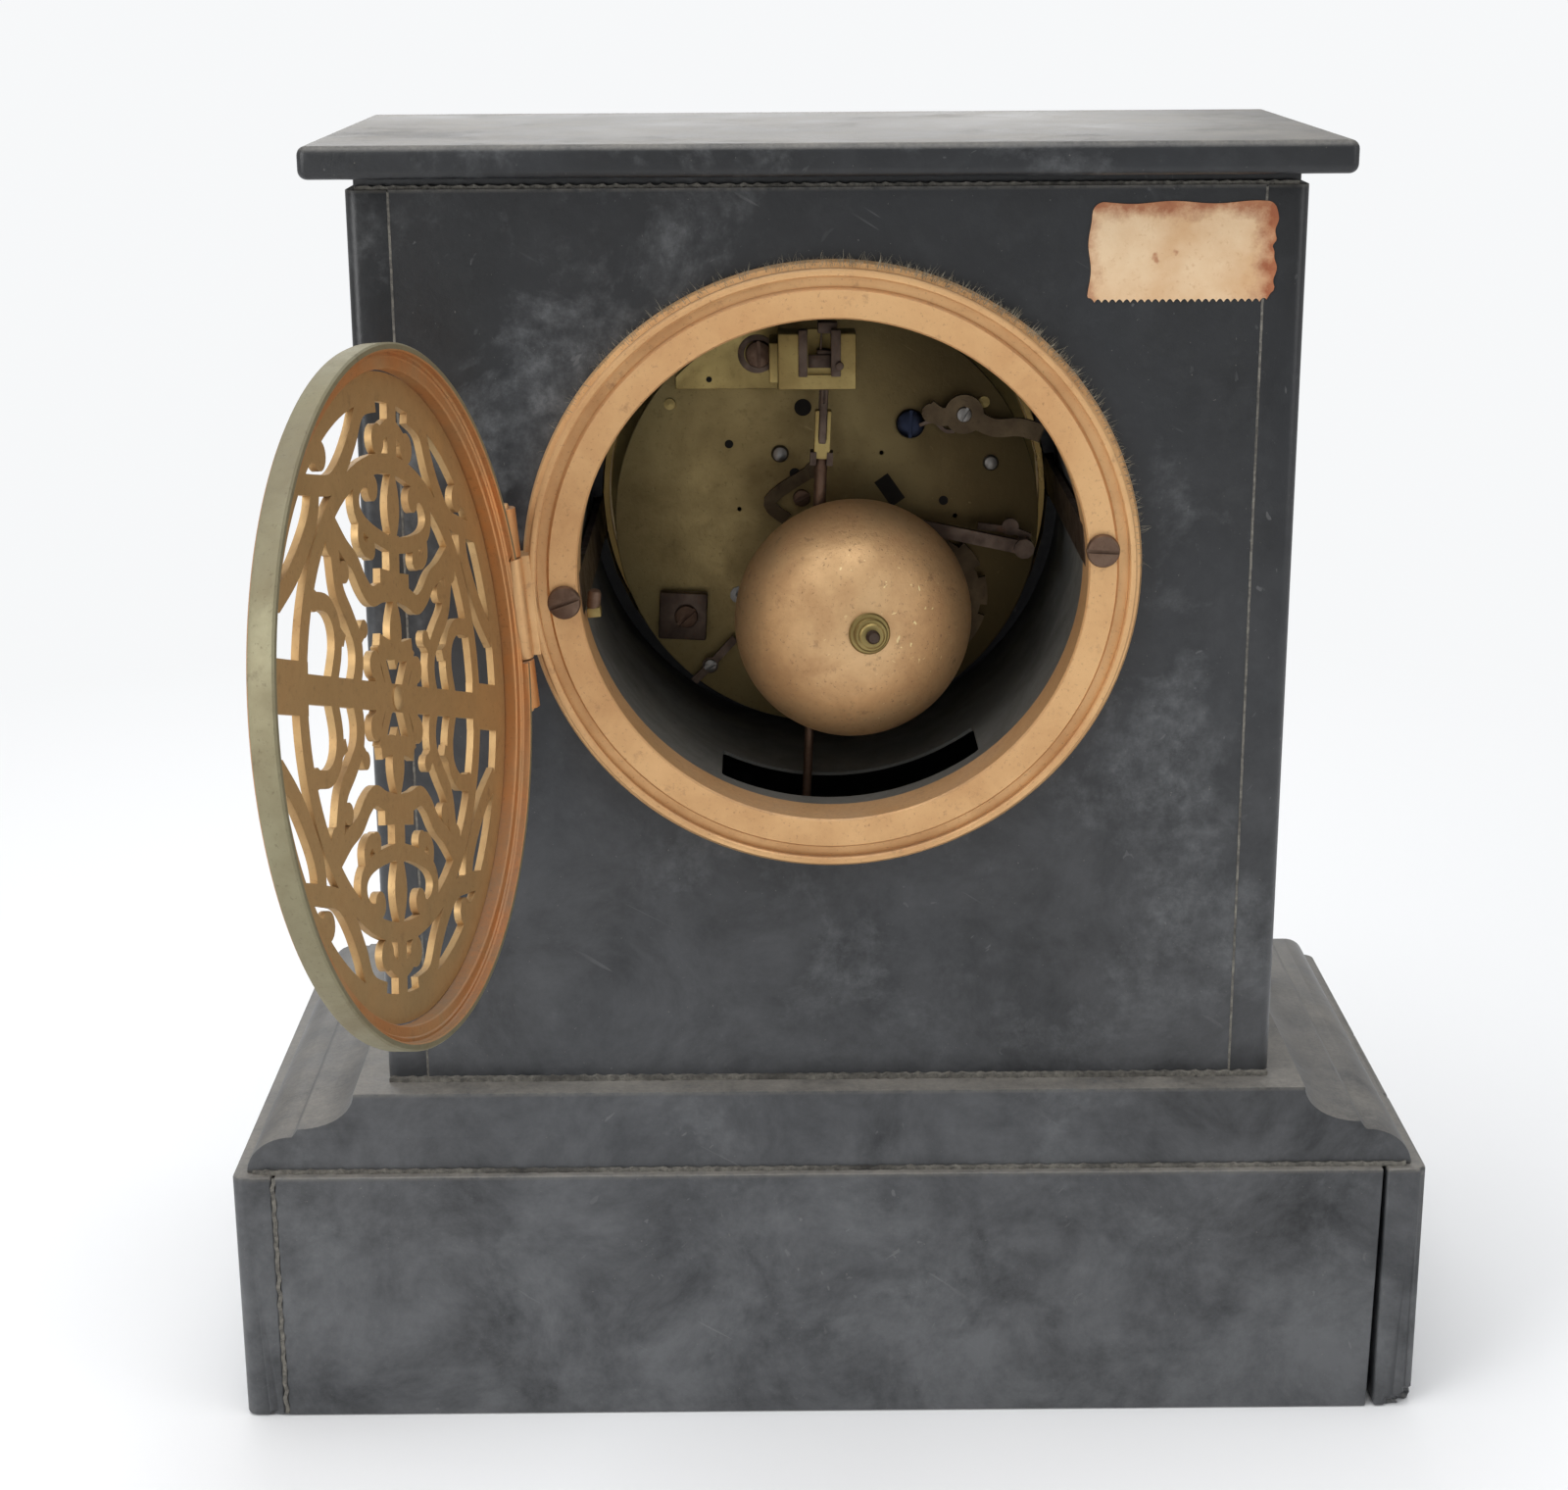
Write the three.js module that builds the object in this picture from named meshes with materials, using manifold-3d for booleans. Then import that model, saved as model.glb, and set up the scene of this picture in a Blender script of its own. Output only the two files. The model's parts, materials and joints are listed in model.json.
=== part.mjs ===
// A black slate mantel clock with a round striking movement and a pierced brass back door.
// Millimetres, +Z up. The dial faces -Y, the back faces +Y, and z = 0 is the shelf.
import * as THREE from 'three';
import { mergeVertices } from 'three/addons/utils/BufferGeometryUtils.js';
import Module from 'manifold-3d';

const wasm = await Module();
wasm.setup();

// ---- case ----
const plinthWidth = 297;
const plinthDepth = 150;
const plinthHeight = 66;
const plinthWall = 10;
const boardThickness = 8;
const slabGap = 0.6; // open joint between the plinth's slabs
const mouldHeight = 21;
const mouldTopReach = 7.7; // past the body, at the moulding's top
const mouldFootInset = 3.5; // from the plinth's side to the moulding's foot
const mouldBackStep = 8.5; // past the body's back
const bodyWidth = 220;
const mouldBottomReach = (plinthWidth - bodyWidth) / 2 - mouldFootInset;
const bodyDepth = 100;
const bodyHeight = 218.5;
const bodyWall = 10;
const bodyBack = 63.5; // Y of the body's back face
const neckHeight = 3;
const neckInset = 2;
const slabThickness = 7.5;
const slabSideReach = 8.6;
const slabBackReach = 11;
const slabFrontReach = 9.5;
const slabRound = 2;
const sideRound = 3; // rounding of the outer slabs' upright edges
const labelWidth = 43.7;
const labelHeight = 23;
const labelThickness = 0.4;
const labelSide = 59.3; // from the middle plane to the label's near edge
const labelDrop = 3.5; // below the body's top
const scallops = 9;

// ---- round opening at the back ----
const boreX = -1;
const boreZ = 216.5;
const rearTilt = THREE.MathUtils.degToRad(5.2); // the ring sits a little turned
const ringFaceRise = 6.4;
const ringCollarDepth = 6;
const linerRadius = 62.5; // inside
const linerWall = 0.8;
const ringBore = linerRadius - 2.6;
const ringOuter = linerRadius + 10.4;
const ringBeadInner = ringOuter - 3.4;
const ringBeadOuter = ringOuter - 1.6;
const ringGrooveInner = ringOuter - 6.2;
const linerSlotNear = 20; // slot for the pendulum, from the body's back face
const linerSlotFar = 41;
const linerSlotHalfAngle = THREE.MathUtils.degToRad(31);
const panelClearance = 0.5;
const strapWidth = 10;
const strapThickness = 1.6;
const strapReach = linerRadius - 2.9;
const strapScrewRadius = linerRadius + 0.8;
const ringScrewShank = 1.5;
const ringScrewHead = 3.9;

// ---- back door ----
const doorOuter = ringOuter + 0.4;
const doorRimInner = doorOuter - 1.7;
const doorLedgeInner = doorOuter - 5.3;
const doorHingeReach = doorOuter + 1.1;
const doorHingeRise = 8.4; // from the body's back face
const doorOpen = THREE.MathUtils.degToRad(102.6);
const doorRimBack = 6;
const doorLedge = 8;
const doorFront = 11.8;
const grilleGap = 0.3;
const grilleBack = 10.9;
const grilleThickness = 1.6;
const knuckleRadius = 2.6;
const rearPinRadius = 1.1;
const ringKnuckleHalf = 12;
const doorKnuckleEnd = 24;
const bossRadius = 3.2;

// ---- front bezel, dial and glass ----
const frontCollarInner = 57.9;
const frontCollarOuter = 59.3;
const frontFlangeOuter = 68.5;
const frontFlangeRise = 3.5;
const glassRimOuter = 67;
const glassRimInner = 57;
const sightRadius = 52.5;
const glassRimDepth = 10.4;
const glassThickness = 1.5;
const frontHingeReach = 70;
const frontKnuckleRadius = 2.2;
const frontPinRadius = 0.9;
const frontKnuckleHalf = 8;
const frontKnuckleEnd = 17;
const dialRadius = 53;
const dialThickness = 2;
const dialGapToPlate = 4.5;
const dialFootRadius = 1.2;
const windingHoleRadius = 3.4;

// ---- movement, local to the bore's centre ----
const frontPlateRadius = 57.5;
const backPlateRadius = 54.5;
const backPlateRear = 3;
const backPlateThickness = 2.2;
const plateGap = 33;
const frontPlateThickness = 2.5;
const pivotRadius = 0.6;
const arborRadius = 1.1;
const runningClearance = 0.1;
const wheelThickness = 1;
const toothDepth = 1.1;
const tipGap = 0.3; // between two wheels' tips
const pillarRadius = 2.6;
const pillarTenon = 1.5;
const pillarPlaces = [[40, 30], [-40, 30], [14, -48], [-14, -48]];
const barrelPlace = [23, -20]; // going side; the strike side mirrors it
const barrelRadius = 20;
const barrelHeight = 19;
const barrelWall = 1;
const squareHalf = 1.7;
const windingShaftRadius = 2.2;
const windingShaftClearance = 0.3;
const intermediatePlace = [22.5, 2.6];
const thirdPlace = [-14, 17];
const escapePlace = [0.7, 32];
const anchorPlace = [0.7, 45.5];
const escapeRadius = 9.6;
const pinWheelPlace = [-33, 0.5];
const flyPlace = [-43, 15];
const countWheelRadius = 18.5;
const hammerPlace = [-50, -6];
const minuteWheelPlace = [6.5, -10.1];
const cannonTeeth = 12;
const minuteTeeth = 36;
const minutePinionTeeth = 10;
const hourTeeth = 40;
const barrelTeeth = 70;
const pinionLeaves = 10;
const intermediateTeeth = 60;
const trainTeeth = 72;
const trainLeaves = 6;
const escapeTeeth = 30;
const minuteHandLength = 44;
const hourHandLength = 30;

// ---- pendulum and bell ----
const pendulumLean = THREE.MathUtils.degToRad(2.6);
const pendulumPlane = 27;
const rodRadius = 1.1;
const bobRadius = 18;
const bobThickness = 9;
const bobDrop = 169; // from the suspension's bending line to the bob's centre
const forkDrop = 25.3;
const springHalfLength = 5;
const springWidth = 4;
const bellPlace = [-5.9, 31, -19.5]; // centre of the mouth, Y in the clock's frame
const bellRadius = 29.8;
const bellHeight = 23;
const bellWall = 1.6;
const bellTurn = THREE.MathUtils.degToRad(8);
const bellLift = THREE.MathUtils.degToRad(4);
const postRadius = 1.5;

// ---- derived places ----
const bodyFoot = plinthHeight + mouldHeight;
const bodyTop = bodyFoot + bodyHeight;
const bodyFront = bodyBack - bodyDepth;
const halfBody = bodyWidth / 2;
const backPlateFront = backPlateRear - backPlateThickness;
const frontPlateRear = backPlateFront - plateGap;
const frontPlateFront = frontPlateRear - frontPlateThickness;
const dialRear = frontPlateFront - dialGapToPlate;
const dialFront = dialRear - dialThickness;
const touch = 0.3; // air between pieces that rest on each other in a turned group
const roundSides = 36;
const smallSides = 10;

const materials = {
  slate: { color: 0x2b2e33, roughness: 0.62, metalness: 0 },
  paper: { color: 0xb9ab8a, roughness: 0.9, metalness: 0 },
  brass: { color: 0xa98a4c, roughness: 0.38, metalness: 1 },
  darkBrass: { color: 0x7d6740, roughness: 0.5, metalness: 1 },
  steel: { color: 0x8b8c8e, roughness: 0.35, metalness: 1 },
  blueSteel: { color: 0x252c3d, roughness: 0.3, metalness: 1 },
  bellMetal: { color: 0xa89668, roughness: 0.32, metalness: 1 },
  enamel: { color: 0xe9e4d6, roughness: 0.25, metalness: 0 },
  glass: { color: 0xdfe8e6, roughness: 0.05, metalness: 0, transparent: true, opacity: 0.3 },
};

// ---- geometry helpers ----
function closedGeometry(geometry) {
  const bare = new THREE.BufferGeometry();
  bare.setAttribute('position', geometry.getAttribute('position'));
  if (geometry.index) bare.setIndex(geometry.index);
  const merged = mergeVertices(bare, 1e-4);
  const index = merged.index.array;
  const kept = [];
  for (let i = 0; i < index.length; i += 3) {
    const [a, b, c] = [index[i], index[i + 1], index[i + 2]];
    if (a !== b && b !== c && c !== a) kept.push(a, b, c);
  }
  merged.setIndex(kept);
  return signedVolume(merged) < 0 ? flipped(merged) : merged;
}

function signedVolume(geometry) {
  const at = geometry.getAttribute('position');
  const index = geometry.index.array;
  const [a, b, c] = [new THREE.Vector3(), new THREE.Vector3(), new THREE.Vector3()];
  let total = 0;
  for (let i = 0; i < index.length; i += 3) {
    a.fromBufferAttribute(at, index[i]);
    b.fromBufferAttribute(at, index[i + 1]);
    c.fromBufferAttribute(at, index[i + 2]);
    total += a.dot(b.cross(c)) / 6;
  }
  return total;
}

function flipped(geometry) {
  const index = geometry.index.array;
  const turned = [];
  for (let i = 0; i < index.length; i += 3) turned.push(index[i], index[i + 2], index[i + 1]);
  geometry.setIndex(turned);
  return geometry;
}

function solid(geometry) {
  const closed = closedGeometry(geometry);
  const vertProperties = new Float32Array(closed.getAttribute('position').array);
  const triVerts = new Uint32Array(closed.index.array);
  return new wasm.Manifold(new wasm.Mesh({ numProp: 3, vertProperties, triVerts }));
}

function geometryOf(manifold) {
  const mesh = manifold.getMesh();
  const geometry = new THREE.BufferGeometry();
  geometry.setAttribute('position', new THREE.BufferAttribute(new Float32Array(mesh.vertProperties), 3));
  geometry.setIndex(Array.from(mesh.triVerts));
  geometry.computeVertexNormals();
  return geometry;
}

const join = (first, ...others) => others.reduce((sum, other) => sum.add(other), first);
const cut = (first, ...others) => others.reduce((rest, other) => rest.subtract(other), first);

// A box between two corners.
function box(low, high) {
  const size = high.map((value, i) => value - low[i]);
  const geometry = new THREE.BoxGeometry(...size);
  geometry.translate(...low.map((value, i) => value + size[i] / 2));
  return solid(geometry);
}

// A ring or disc turned round the Y axis, from its outline of [radius, y] points.
function turned(outline, sides = roundSides) {
  const points = outline.map(([radius, y]) => new THREE.Vector2(radius, y));
  if (outline[0][0] > 0) points.push(points[0].clone());
  return solid(new THREE.LatheGeometry(points, sides));
}

function disc(radius, yLow, yHigh, sides = smallSides, [x, z] = [0, 0]) {
  return turned([[0, yLow], [radius, yLow], [radius, yHigh], [0, yHigh]], sides).translate([x, 0, z]);
}

// An upright cylinder.
function post(radius, zLow, zHigh, [x, y] = [0, 0], sides = smallSides) {
  const geometry = new THREE.CylinderGeometry(radius, radius, zHigh - zLow, sides);
  geometry.rotateX(Math.PI / 2);
  geometry.translate(x, y, (zLow + zHigh) / 2);
  return solid(geometry);
}

// A flat piece in the XZ plane, between two Y values.
function plate(shape, yLow, yHigh, curveSegments = 3) {
  const depth = yHigh - yLow;
  const geometry = new THREE.ExtrudeGeometry(shape, { depth, bevelEnabled: false, curveSegments });
  geometry.rotateX(Math.PI / 2);
  geometry.translate(0, yHigh, 0);
  return solid(geometry);
}

function outline(points) {
  return new THREE.Shape(points.map(([x, y]) => new THREE.Vector2(x, y)));
}

// A strip of even width along a smooth line through the given points.
function strip(points, width, steps = 4) {
  const line = new THREE.SplineCurve(points.map(([x, y]) => new THREE.Vector2(x, y)));
  const middle = line.getPoints(steps);
  const left = [];
  const right = [];
  middle.forEach((point, i) => {
    const tangent = line.getTangent(i / steps);
    const side = new THREE.Vector2(-tangent.y, tangent.x).multiplyScalar(width / 2);
    left.push([point.x + side.x, point.y + side.y]);
    right.push([point.x - side.x, point.y - side.y]);
  });
  return outline([...left, ...right.reverse()]);
}

// A toothed outline whose tips reach the given radius.
function toothed(radius, teeth, depth = toothDepth) {
  const points = [];
  for (let i = 0; i < teeth * 2; i += 1) {
    const angle = (i * Math.PI) / teeth;
    const reach = i % 2 ? radius - depth : radius;
    points.push([reach * Math.cos(angle), reach * Math.sin(angle)]);
  }
  return outline(points);
}

function toothedWheel(radius, teeth, yLow, yHigh, depth) {
  return plate(toothed(radius, teeth, depth), yLow, yHigh);
}

// An arbor between the plates, with a thin pivot through each.
function arbor(radius = arborRadius, rearEnd = backPlateRear, sides = smallSides) {
  const frontShoulder = frontPlateRear + touch;
  const rearShoulder = backPlateFront - touch;
  return turned([
    [0, frontPlateFront], [pivotRadius, frontPlateFront], [pivotRadius, frontShoulder],
    [radius, frontShoulder], [radius, rearShoulder], [pivotRadius, rearShoulder],
    [pivotRadius, rearEnd], [0, rearEnd],
  ], sides);
}

const distance = (a, b) => Math.hypot(a[0] - b[0], a[1] - b[1]);

// Radii of a wheel and its pinion on two arbors, with their tips just clear of each other.
function pair(from, to, wheelTeeth, pinionTeeth) {
  const room = distance(from, to) - tipGap;
  const wheel = (room * wheelTeeth) / (wheelTeeth + pinionTeeth);
  return { wheel, pinion: room - wheel };
}

const clock = new THREE.Group();

function add(parent, name, manifold, material, place = [0, 0, 0]) {
  const mesh = new THREE.Mesh(geometryOf(manifold), new THREE.MeshStandardMaterial(materials[material]));
  mesh.name = name;
  mesh.position.set(...place);
  parent.add(mesh);
  return mesh;
}

// ---- case pieces ----
const insidePlinth = plinthWidth / 2 - plinthWall;
const halfPlinthDepth = plinthDepth / 2;
add(clock, 'base_board', box(
  [-insidePlinth + slabGap, -halfPlinthDepth + plinthWall, 0],
  [insidePlinth - slabGap, halfPlinthDepth - plinthWall, boardThickness],
), 'slate');

function uprightSlab(xInner, xOuter, yLow, yHigh, zLow, zHigh) {
  const r = sideRound;
  const shape = new THREE.Shape();
  shape.moveTo(xInner, yLow);
  shape.lineTo(xOuter - r, yLow);
  shape.absarc(xOuter - r, yLow + r, r, -Math.PI / 2, 0, false);
  shape.absarc(xOuter - r, yHigh - r, r, 0, Math.PI / 2, false);
  shape.lineTo(xInner, yHigh);
  const depth = zHigh - zLow;
  const geometry = new THREE.ExtrudeGeometry(shape, { depth, bevelEnabled: false, curveSegments: 5 });
  geometry.translate(0, 0, zLow);
  return solid(geometry);
}

for (const [side, mirror] of [['left', false], ['right', true]]) {
  const flip = (piece) => (mirror ? piece.mirror([1, 0, 0]) : piece);
  const plinthSide = uprightSlab(
    insidePlinth, plinthWidth / 2, -halfPlinthDepth, halfPlinthDepth, 0, plinthHeight,
  );
  add(clock, `plinth_side_${side}`, flip(plinthSide), 'slate');
  const bodySide = uprightSlab(halfBody - bodyWall, halfBody, bodyFront, bodyBack, bodyFoot, bodyTop);
  add(clock, `body_side_${side}`, flip(bodySide), 'slate');
}
for (const [name, low, high] of [
  ['plinth_back_panel', halfPlinthDepth - plinthWall, halfPlinthDepth],
  ['plinth_front_panel', -halfPlinthDepth, -halfPlinthDepth + plinthWall],
]) {
  add(clock, name, box(
    [-insidePlinth + slabGap, low, 0],
    [insidePlinth - slabGap, high, plinthHeight],
  ), 'slate');
}

// The moulding's outline, as [reach past the body, height]: a quarter round, a step and a hollow.
function mouldOutline() {
  const stepReach = mouldTopReach + (mouldBottomReach - mouldTopReach) * 0.57;
  const stepLow = mouldHeight * 0.46;
  const stepHigh = mouldHeight * 0.56;
  const points = [];
  for (let i = 0; i <= 5; i += 1) {
    const angle = (i / 5) * (Math.PI / 2);
    const reach = stepReach + (mouldBottomReach - stepReach) * Math.cos(angle);
    points.push([reach, stepLow * Math.sin(angle)]);
  }
  const ledge = stepReach - 1.4;
  for (let i = 0; i <= 5; i += 1) {
    const angle = (i / 5) * (Math.PI / 2);
    const reach = ledge - (ledge - mouldTopReach) * Math.sin(angle);
    points.push([reach, mouldHeight - (mouldHeight - stepHigh) * Math.cos(angle)]);
  }
  return points;
}

function mouldingSolid() {
  const profile = mouldOutline();
  const across = outline([
    ...profile.map(([reach, z]) => [halfBody + reach, plinthHeight + z]),
    ...profile.map(([reach, z]) => [-halfBody - reach, plinthHeight + z]).reverse(),
  ]);
  const backFace = bodyBack + mouldBackStep;
  const alongShape = outline([
    ...profile.map(([reach, z]) => [-bodyFront + reach, plinthHeight + z]),
    [-backFace, plinthHeight + mouldHeight],
    [-backFace, plinthHeight],
  ]);
  const sides = plate(across, -plinthDepth, plinthDepth);
  const along = plate(alongShape, -plinthWidth, plinthWidth).rotate([0, 0, -90]);
  const opening = box(
    [-halfBody + bodyWall * 4, bodyFront + bodyWall, plinthHeight - 1],
    [halfBody - bodyWall * 4, bodyBack - bodyWall, bodyFoot + 1],
  );
  const whole = sides.intersect(along);
  return cut(whole, opening);
}
add(clock, 'plinth_moulding', mouldingSolid(), 'slate');

const panelHole = linerRadius + linerWall + panelClearance;
const strapOuter = strapReach + strapThickness;
const strapEnd = strapScrewRadius + ringScrewShank * 2;

// Room for both straps, turned with the ring.
function strapNotches(yLow, yHigh, reach) {
  const half = strapWidth / 2 + 0.8;
  const bar = box([-reach, yLow, -half], [reach, yHigh, half]);
  return bar.rotate([0, THREE.MathUtils.radToDeg(rearTilt), 0]).translate([boreX, 0, boreZ]);
}

const backPanel = box(
  [-halfBody + bodyWall + touch / 3, bodyBack - bodyWall, bodyFoot],
  [halfBody - bodyWall - touch / 3, bodyBack, bodyTop],
);
add(clock, 'body_back_panel', cut(
  backPanel,
  disc(panelHole, bodyBack - bodyWall - 1, bodyBack + 1, roundSides, [boreX, boreZ]),
  strapNotches(bodyBack - bodyWall - 1, bodyBack + 1, strapEnd + 0.8),
), 'slate');
const frontPanel = box(
  [-halfBody + bodyWall + touch / 3, bodyFront, bodyFoot],
  [halfBody - bodyWall - touch / 3, bodyFront + bodyWall, bodyTop],
);
add(clock, 'body_front_panel', cut(
  frontPanel,
  disc(
    frontCollarOuter + panelClearance, bodyFront - 1, bodyFront + bodyWall + 1,
    roundSides, [boreX, boreZ],
  ),
  strapNotches(bodyFront - 1, bodyFront + bodyWall + 1, strapOuter + 0.8),
), 'slate');

function topSlab() {
  const neck = box(
    [-halfBody + neckInset, bodyFront + neckInset, bodyTop],
    [halfBody - neckInset, bodyBack - neckInset, bodyTop + neckHeight + 1],
  );
  const r = slabRound;
  const low = bodyTop + neckHeight;
  const high = low + slabThickness;
  const side = halfBody + slabSideReach;
  const section = (near, far) => {
    const shape = new THREE.Shape();
    shape.absarc(far - r, low + r, r, -Math.PI / 2, 0, false);
    shape.absarc(far - r, high - r, r, 0, Math.PI / 2, false);
    shape.absarc(near + r, high - r, r, Math.PI / 2, Math.PI, false);
    shape.absarc(near + r, low + r, r, Math.PI, Math.PI * 1.5, false);
    return shape;
  };
  const across = plate(section(-side, side), -bodyWidth, bodyWidth);
  const along = plate(section(-bodyBack - slabBackReach, -bodyFront + slabFrontReach), -bodyWidth, bodyWidth);
  return join(across.intersect(along.rotate([0, 0, -90])), neck);
}
add(clock, 'top_slab', topSlab(), 'slate');

function labelShape() {
  const shape = new THREE.Shape();
  const top = bodyTop - labelDrop;
  const foot = top - labelHeight;
  const near = -labelSide;
  const far = -labelSide - labelWidth;
  const bump = labelWidth / scallops / 2;
  shape.moveTo(near, foot + bump);
  shape.lineTo(near, top);
  shape.lineTo(far, top);
  shape.lineTo(far, foot + bump);
  for (let i = 0; i < scallops; i += 1) {
    shape.absarc(far + bump * (2 * i + 1), foot + bump, bump * 0.96, Math.PI, Math.PI * 2, false);
  }
  return shape;
}
add(clock, 'paper_label', plate(labelShape(), bodyBack, bodyBack + labelThickness), 'paper');

// ---- ring, liner and straps, all turned a little round the bore's axis ----
const rear = new THREE.Group();
rear.position.set(boreX, 0, boreZ);
rear.rotation.y = rearTilt;
clock.add(rear);

const linerFront = bodyFront + bodyWall + touch;
const linerRear = bodyBack - 1;
const slotHalf = linerRadius * Math.sin(linerSlotHalfAngle);
const strapGapHalf = strapWidth / 2 + 0.4;
add(rear, 'drum_liner', cut(
  turned([
    [linerRadius, linerFront], [linerRadius + linerWall, linerFront],
    [linerRadius + linerWall, linerRear], [linerRadius, linerRear],
  ], 48),
  box(
    [-slotHalf, bodyBack - linerSlotFar, -linerRadius - 5],
    [slotHalf, bodyBack - linerSlotNear, -linerRadius * 0.7],
  ),
  box([-strapEnd - 1, bodyBack - bodyWall, -strapGapHalf], [strapEnd + 1, bodyBack + 1, strapGapHalf]),
), 'darkBrass');

const ringSeat = bodyBack + touch;
const ringFace = bodyBack + ringFaceRise;
function rearRing() {
  const collarEnd = bodyBack - ringCollarDepth;
  const ring = turned([
    [ringBore, collarEnd], [linerRadius - touch, collarEnd], [linerRadius - touch, ringSeat],
    [ringOuter, ringSeat], [ringOuter, bodyBack + 2.2], [ringBeadOuter, bodyBack + 2.4],
    [ringBeadOuter, ringFace + 0.4], [ringBeadInner, ringFace + 0.4], [ringBeadInner, ringFace - 1.8],
    [ringGrooveInner, ringFace - 1.8], [ringGrooveInner, ringFace], [ringBore, ringFace],
  ]);
  const hinge = [doorHingeReach, bodyBack + doorHingeRise];
  const knuckle = post(knuckleRadius, -ringKnuckleHalf, ringKnuckleHalf, hinge);
  const leaf = box(
    [ringBeadInner + 0.5, ringSeat, -ringKnuckleHalf],
    [doorHingeReach, ringFace + 0.6, ringKnuckleHalf],
  );
  const holes = [-strapScrewRadius, strapScrewRadius].map(
    (x) => disc(ringScrewShank + runningClearance, bodyBack - 8, ringFace + 1, smallSides, [x, 0]),
  );
  const notches = box(
    [-linerRadius - 1, collarEnd - 1, -strapGapHalf],
    [linerRadius + 1, bodyBack, strapGapHalf],
  );
  const pinHole = post(rearPinRadius + runningClearance, -ringKnuckleHalf - 1, ringKnuckleHalf + 1, hinge);
  return cut(join(ring, leaf, knuckle), pinHole, notches, ...holes);
}
add(rear, 'rear_ring', rearRing(), 'brass');

// A strap lies inside the liner and ends in a block that the ring's screw enters.
function strap() {
  const bar = box(
    [strapReach, frontPlateFront, -strapWidth / 2],
    [strapOuter, ringSeat - touch * 2, strapWidth / 2],
  );
  const end = box(
    [strapReach, bodyBack - 8, -strapWidth / 2],
    [strapEnd, ringSeat - touch * 2, strapWidth / 2],
  );
  const hole = disc(
    ringScrewShank + runningClearance, bodyBack - 9, bodyBack + 1, smallSides, [strapScrewRadius, 0],
  );
  return cut(join(bar, end), hole);
}

function slottedScrew(headRadius, shankRadius, seat, tip, headHeight = 1.8) {
  const top = seat + headHeight;
  const body = turned([
    [0, tip], [shankRadius, tip], [shankRadius, seat], [headRadius, seat],
    [headRadius, top - 0.5], [headRadius - 0.5, top], [0, top],
  ], 16);
  const slot = box([-headRadius - 1, top - 0.8, -0.45], [headRadius + 1, top + 1, 0.45]);
  return cut(body, slot);
}
for (const [side, sign] of [['left', 1], ['right', -1]]) {
  const bar = sign > 0 ? strap() : strap().mirror([1, 0, 0]);
  add(rear, `strap_${side}`, bar, 'steel');
  const screw = slottedScrew(ringScrewHead, ringScrewShank, ringFace + touch / 3, bodyBack - 7);
  add(rear, `rear_ring_screw_${side}`, screw, 'steel', [sign * strapScrewRadius, 0, 0]);
}
add(rear, 'rear_hinge_pin', post(
  rearPinRadius, -doorKnuckleEnd - 1, doorKnuckleEnd + 1, [doorHingeReach, bodyBack + doorHingeRise],
), 'brass');

// ---- back door, drawn closed and turned open about its pin ----
const doorHinge = new THREE.Group();
doorHinge.position.set(doorHingeReach, bodyBack + doorHingeRise, 0);
doorHinge.rotation.z = -doorOpen;
rear.add(doorHinge);
const door = new THREE.Group();
door.position.set(-doorHingeReach, -bodyBack - doorHingeRise, 0);
doorHinge.add(door);

function doorFrame() {
  const rimBack = bodyBack + doorRimBack;
  const ledge = bodyBack + doorLedge;
  const front = bodyBack + doorFront;
  const ring = turned([
    [doorRimInner, rimBack], [doorOuter, rimBack], [doorOuter, front - 1.2], [doorOuter - 1, front],
    [doorLedgeInner + 0.8, front], [doorLedgeInner, front - 0.8], [doorLedgeInner, ledge],
    [doorRimInner, ledge],
  ]);
  const hinge = [doorHingeReach, bodyBack + doorHingeRise];
  const room = ringKnuckleHalf + 0.4;
  const notch = join(
    box(
      [doorHingeReach - knuckleRadius - 0.6, bodyBack, -room],
      [doorHingeReach + 10, bodyBack + 30, room],
    ),
    box([ringBeadInner, bodyBack, -room], [doorHingeReach, ringFace + 1, room]),
  );
  const knuckles = [[room, doorKnuckleEnd], [-doorKnuckleEnd, -room]].map(([low, high]) => join(
    post(knuckleRadius, low, high, hinge),
    box([doorLedgeInner + 0.4, ledge + 0.4, low], [doorHingeReach, front - 0.3, high]),
  ));
  const pinHole = post(rearPinRadius + runningClearance, -doorKnuckleEnd - 1, doorKnuckleEnd + 1, hinge);
  return cut(join(cut(ring, notch), ...knuckles), pinHole);
}
add(door, 'rear_door_frame', doorFrame(), 'brass');

// One quarter of the pierced scrollwork, mirrored both ways; x runs away from the hinge.
const grilleOuter = doorLedgeInner - grilleGap;
const fretTurn = THREE.MathUtils.degToRad(18.4);
const fretScale = grilleOuter / 67.5;
const fretStrips = [
  { width: 4.2, line: [[9, 60.5], [17, 58.2], [21.5, 51.5], [26.5, 45.5], [32.5, 41], [40, 39.8], [50, 39]] },
  { width: 4.4, line: [[60, 15.5], [52, 21.5], [45.5, 28.5], [42, 34], [41, 39]] },
  {
    width: 4.4,
    line: [[-1, 22.3], [7, 21.5], [12.5, 20.3], [17, 22.3], [21.5, 26.3], [27, 29], [33.5, 33.5]],
  },
  {
    width: 4.2,
    line: [[33.5, 34], [31.5, 26.5], [29.5, 20], [24.5, 15], [20.8, 10.5], [20.3, 5.5], [22.5, 1]],
  },
  { width: 3.6, line: [[43.5, 17.2], [36, 17], [31.8, 13.5], [31, 8], [33.5, 2]] },
  { width: 3.6, line: [[11.3, 43], [15.5, 44], [19.3, 41.8], [20, 38], [17, 35], [10, 33], [-1, 31.5]] },
];

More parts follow.
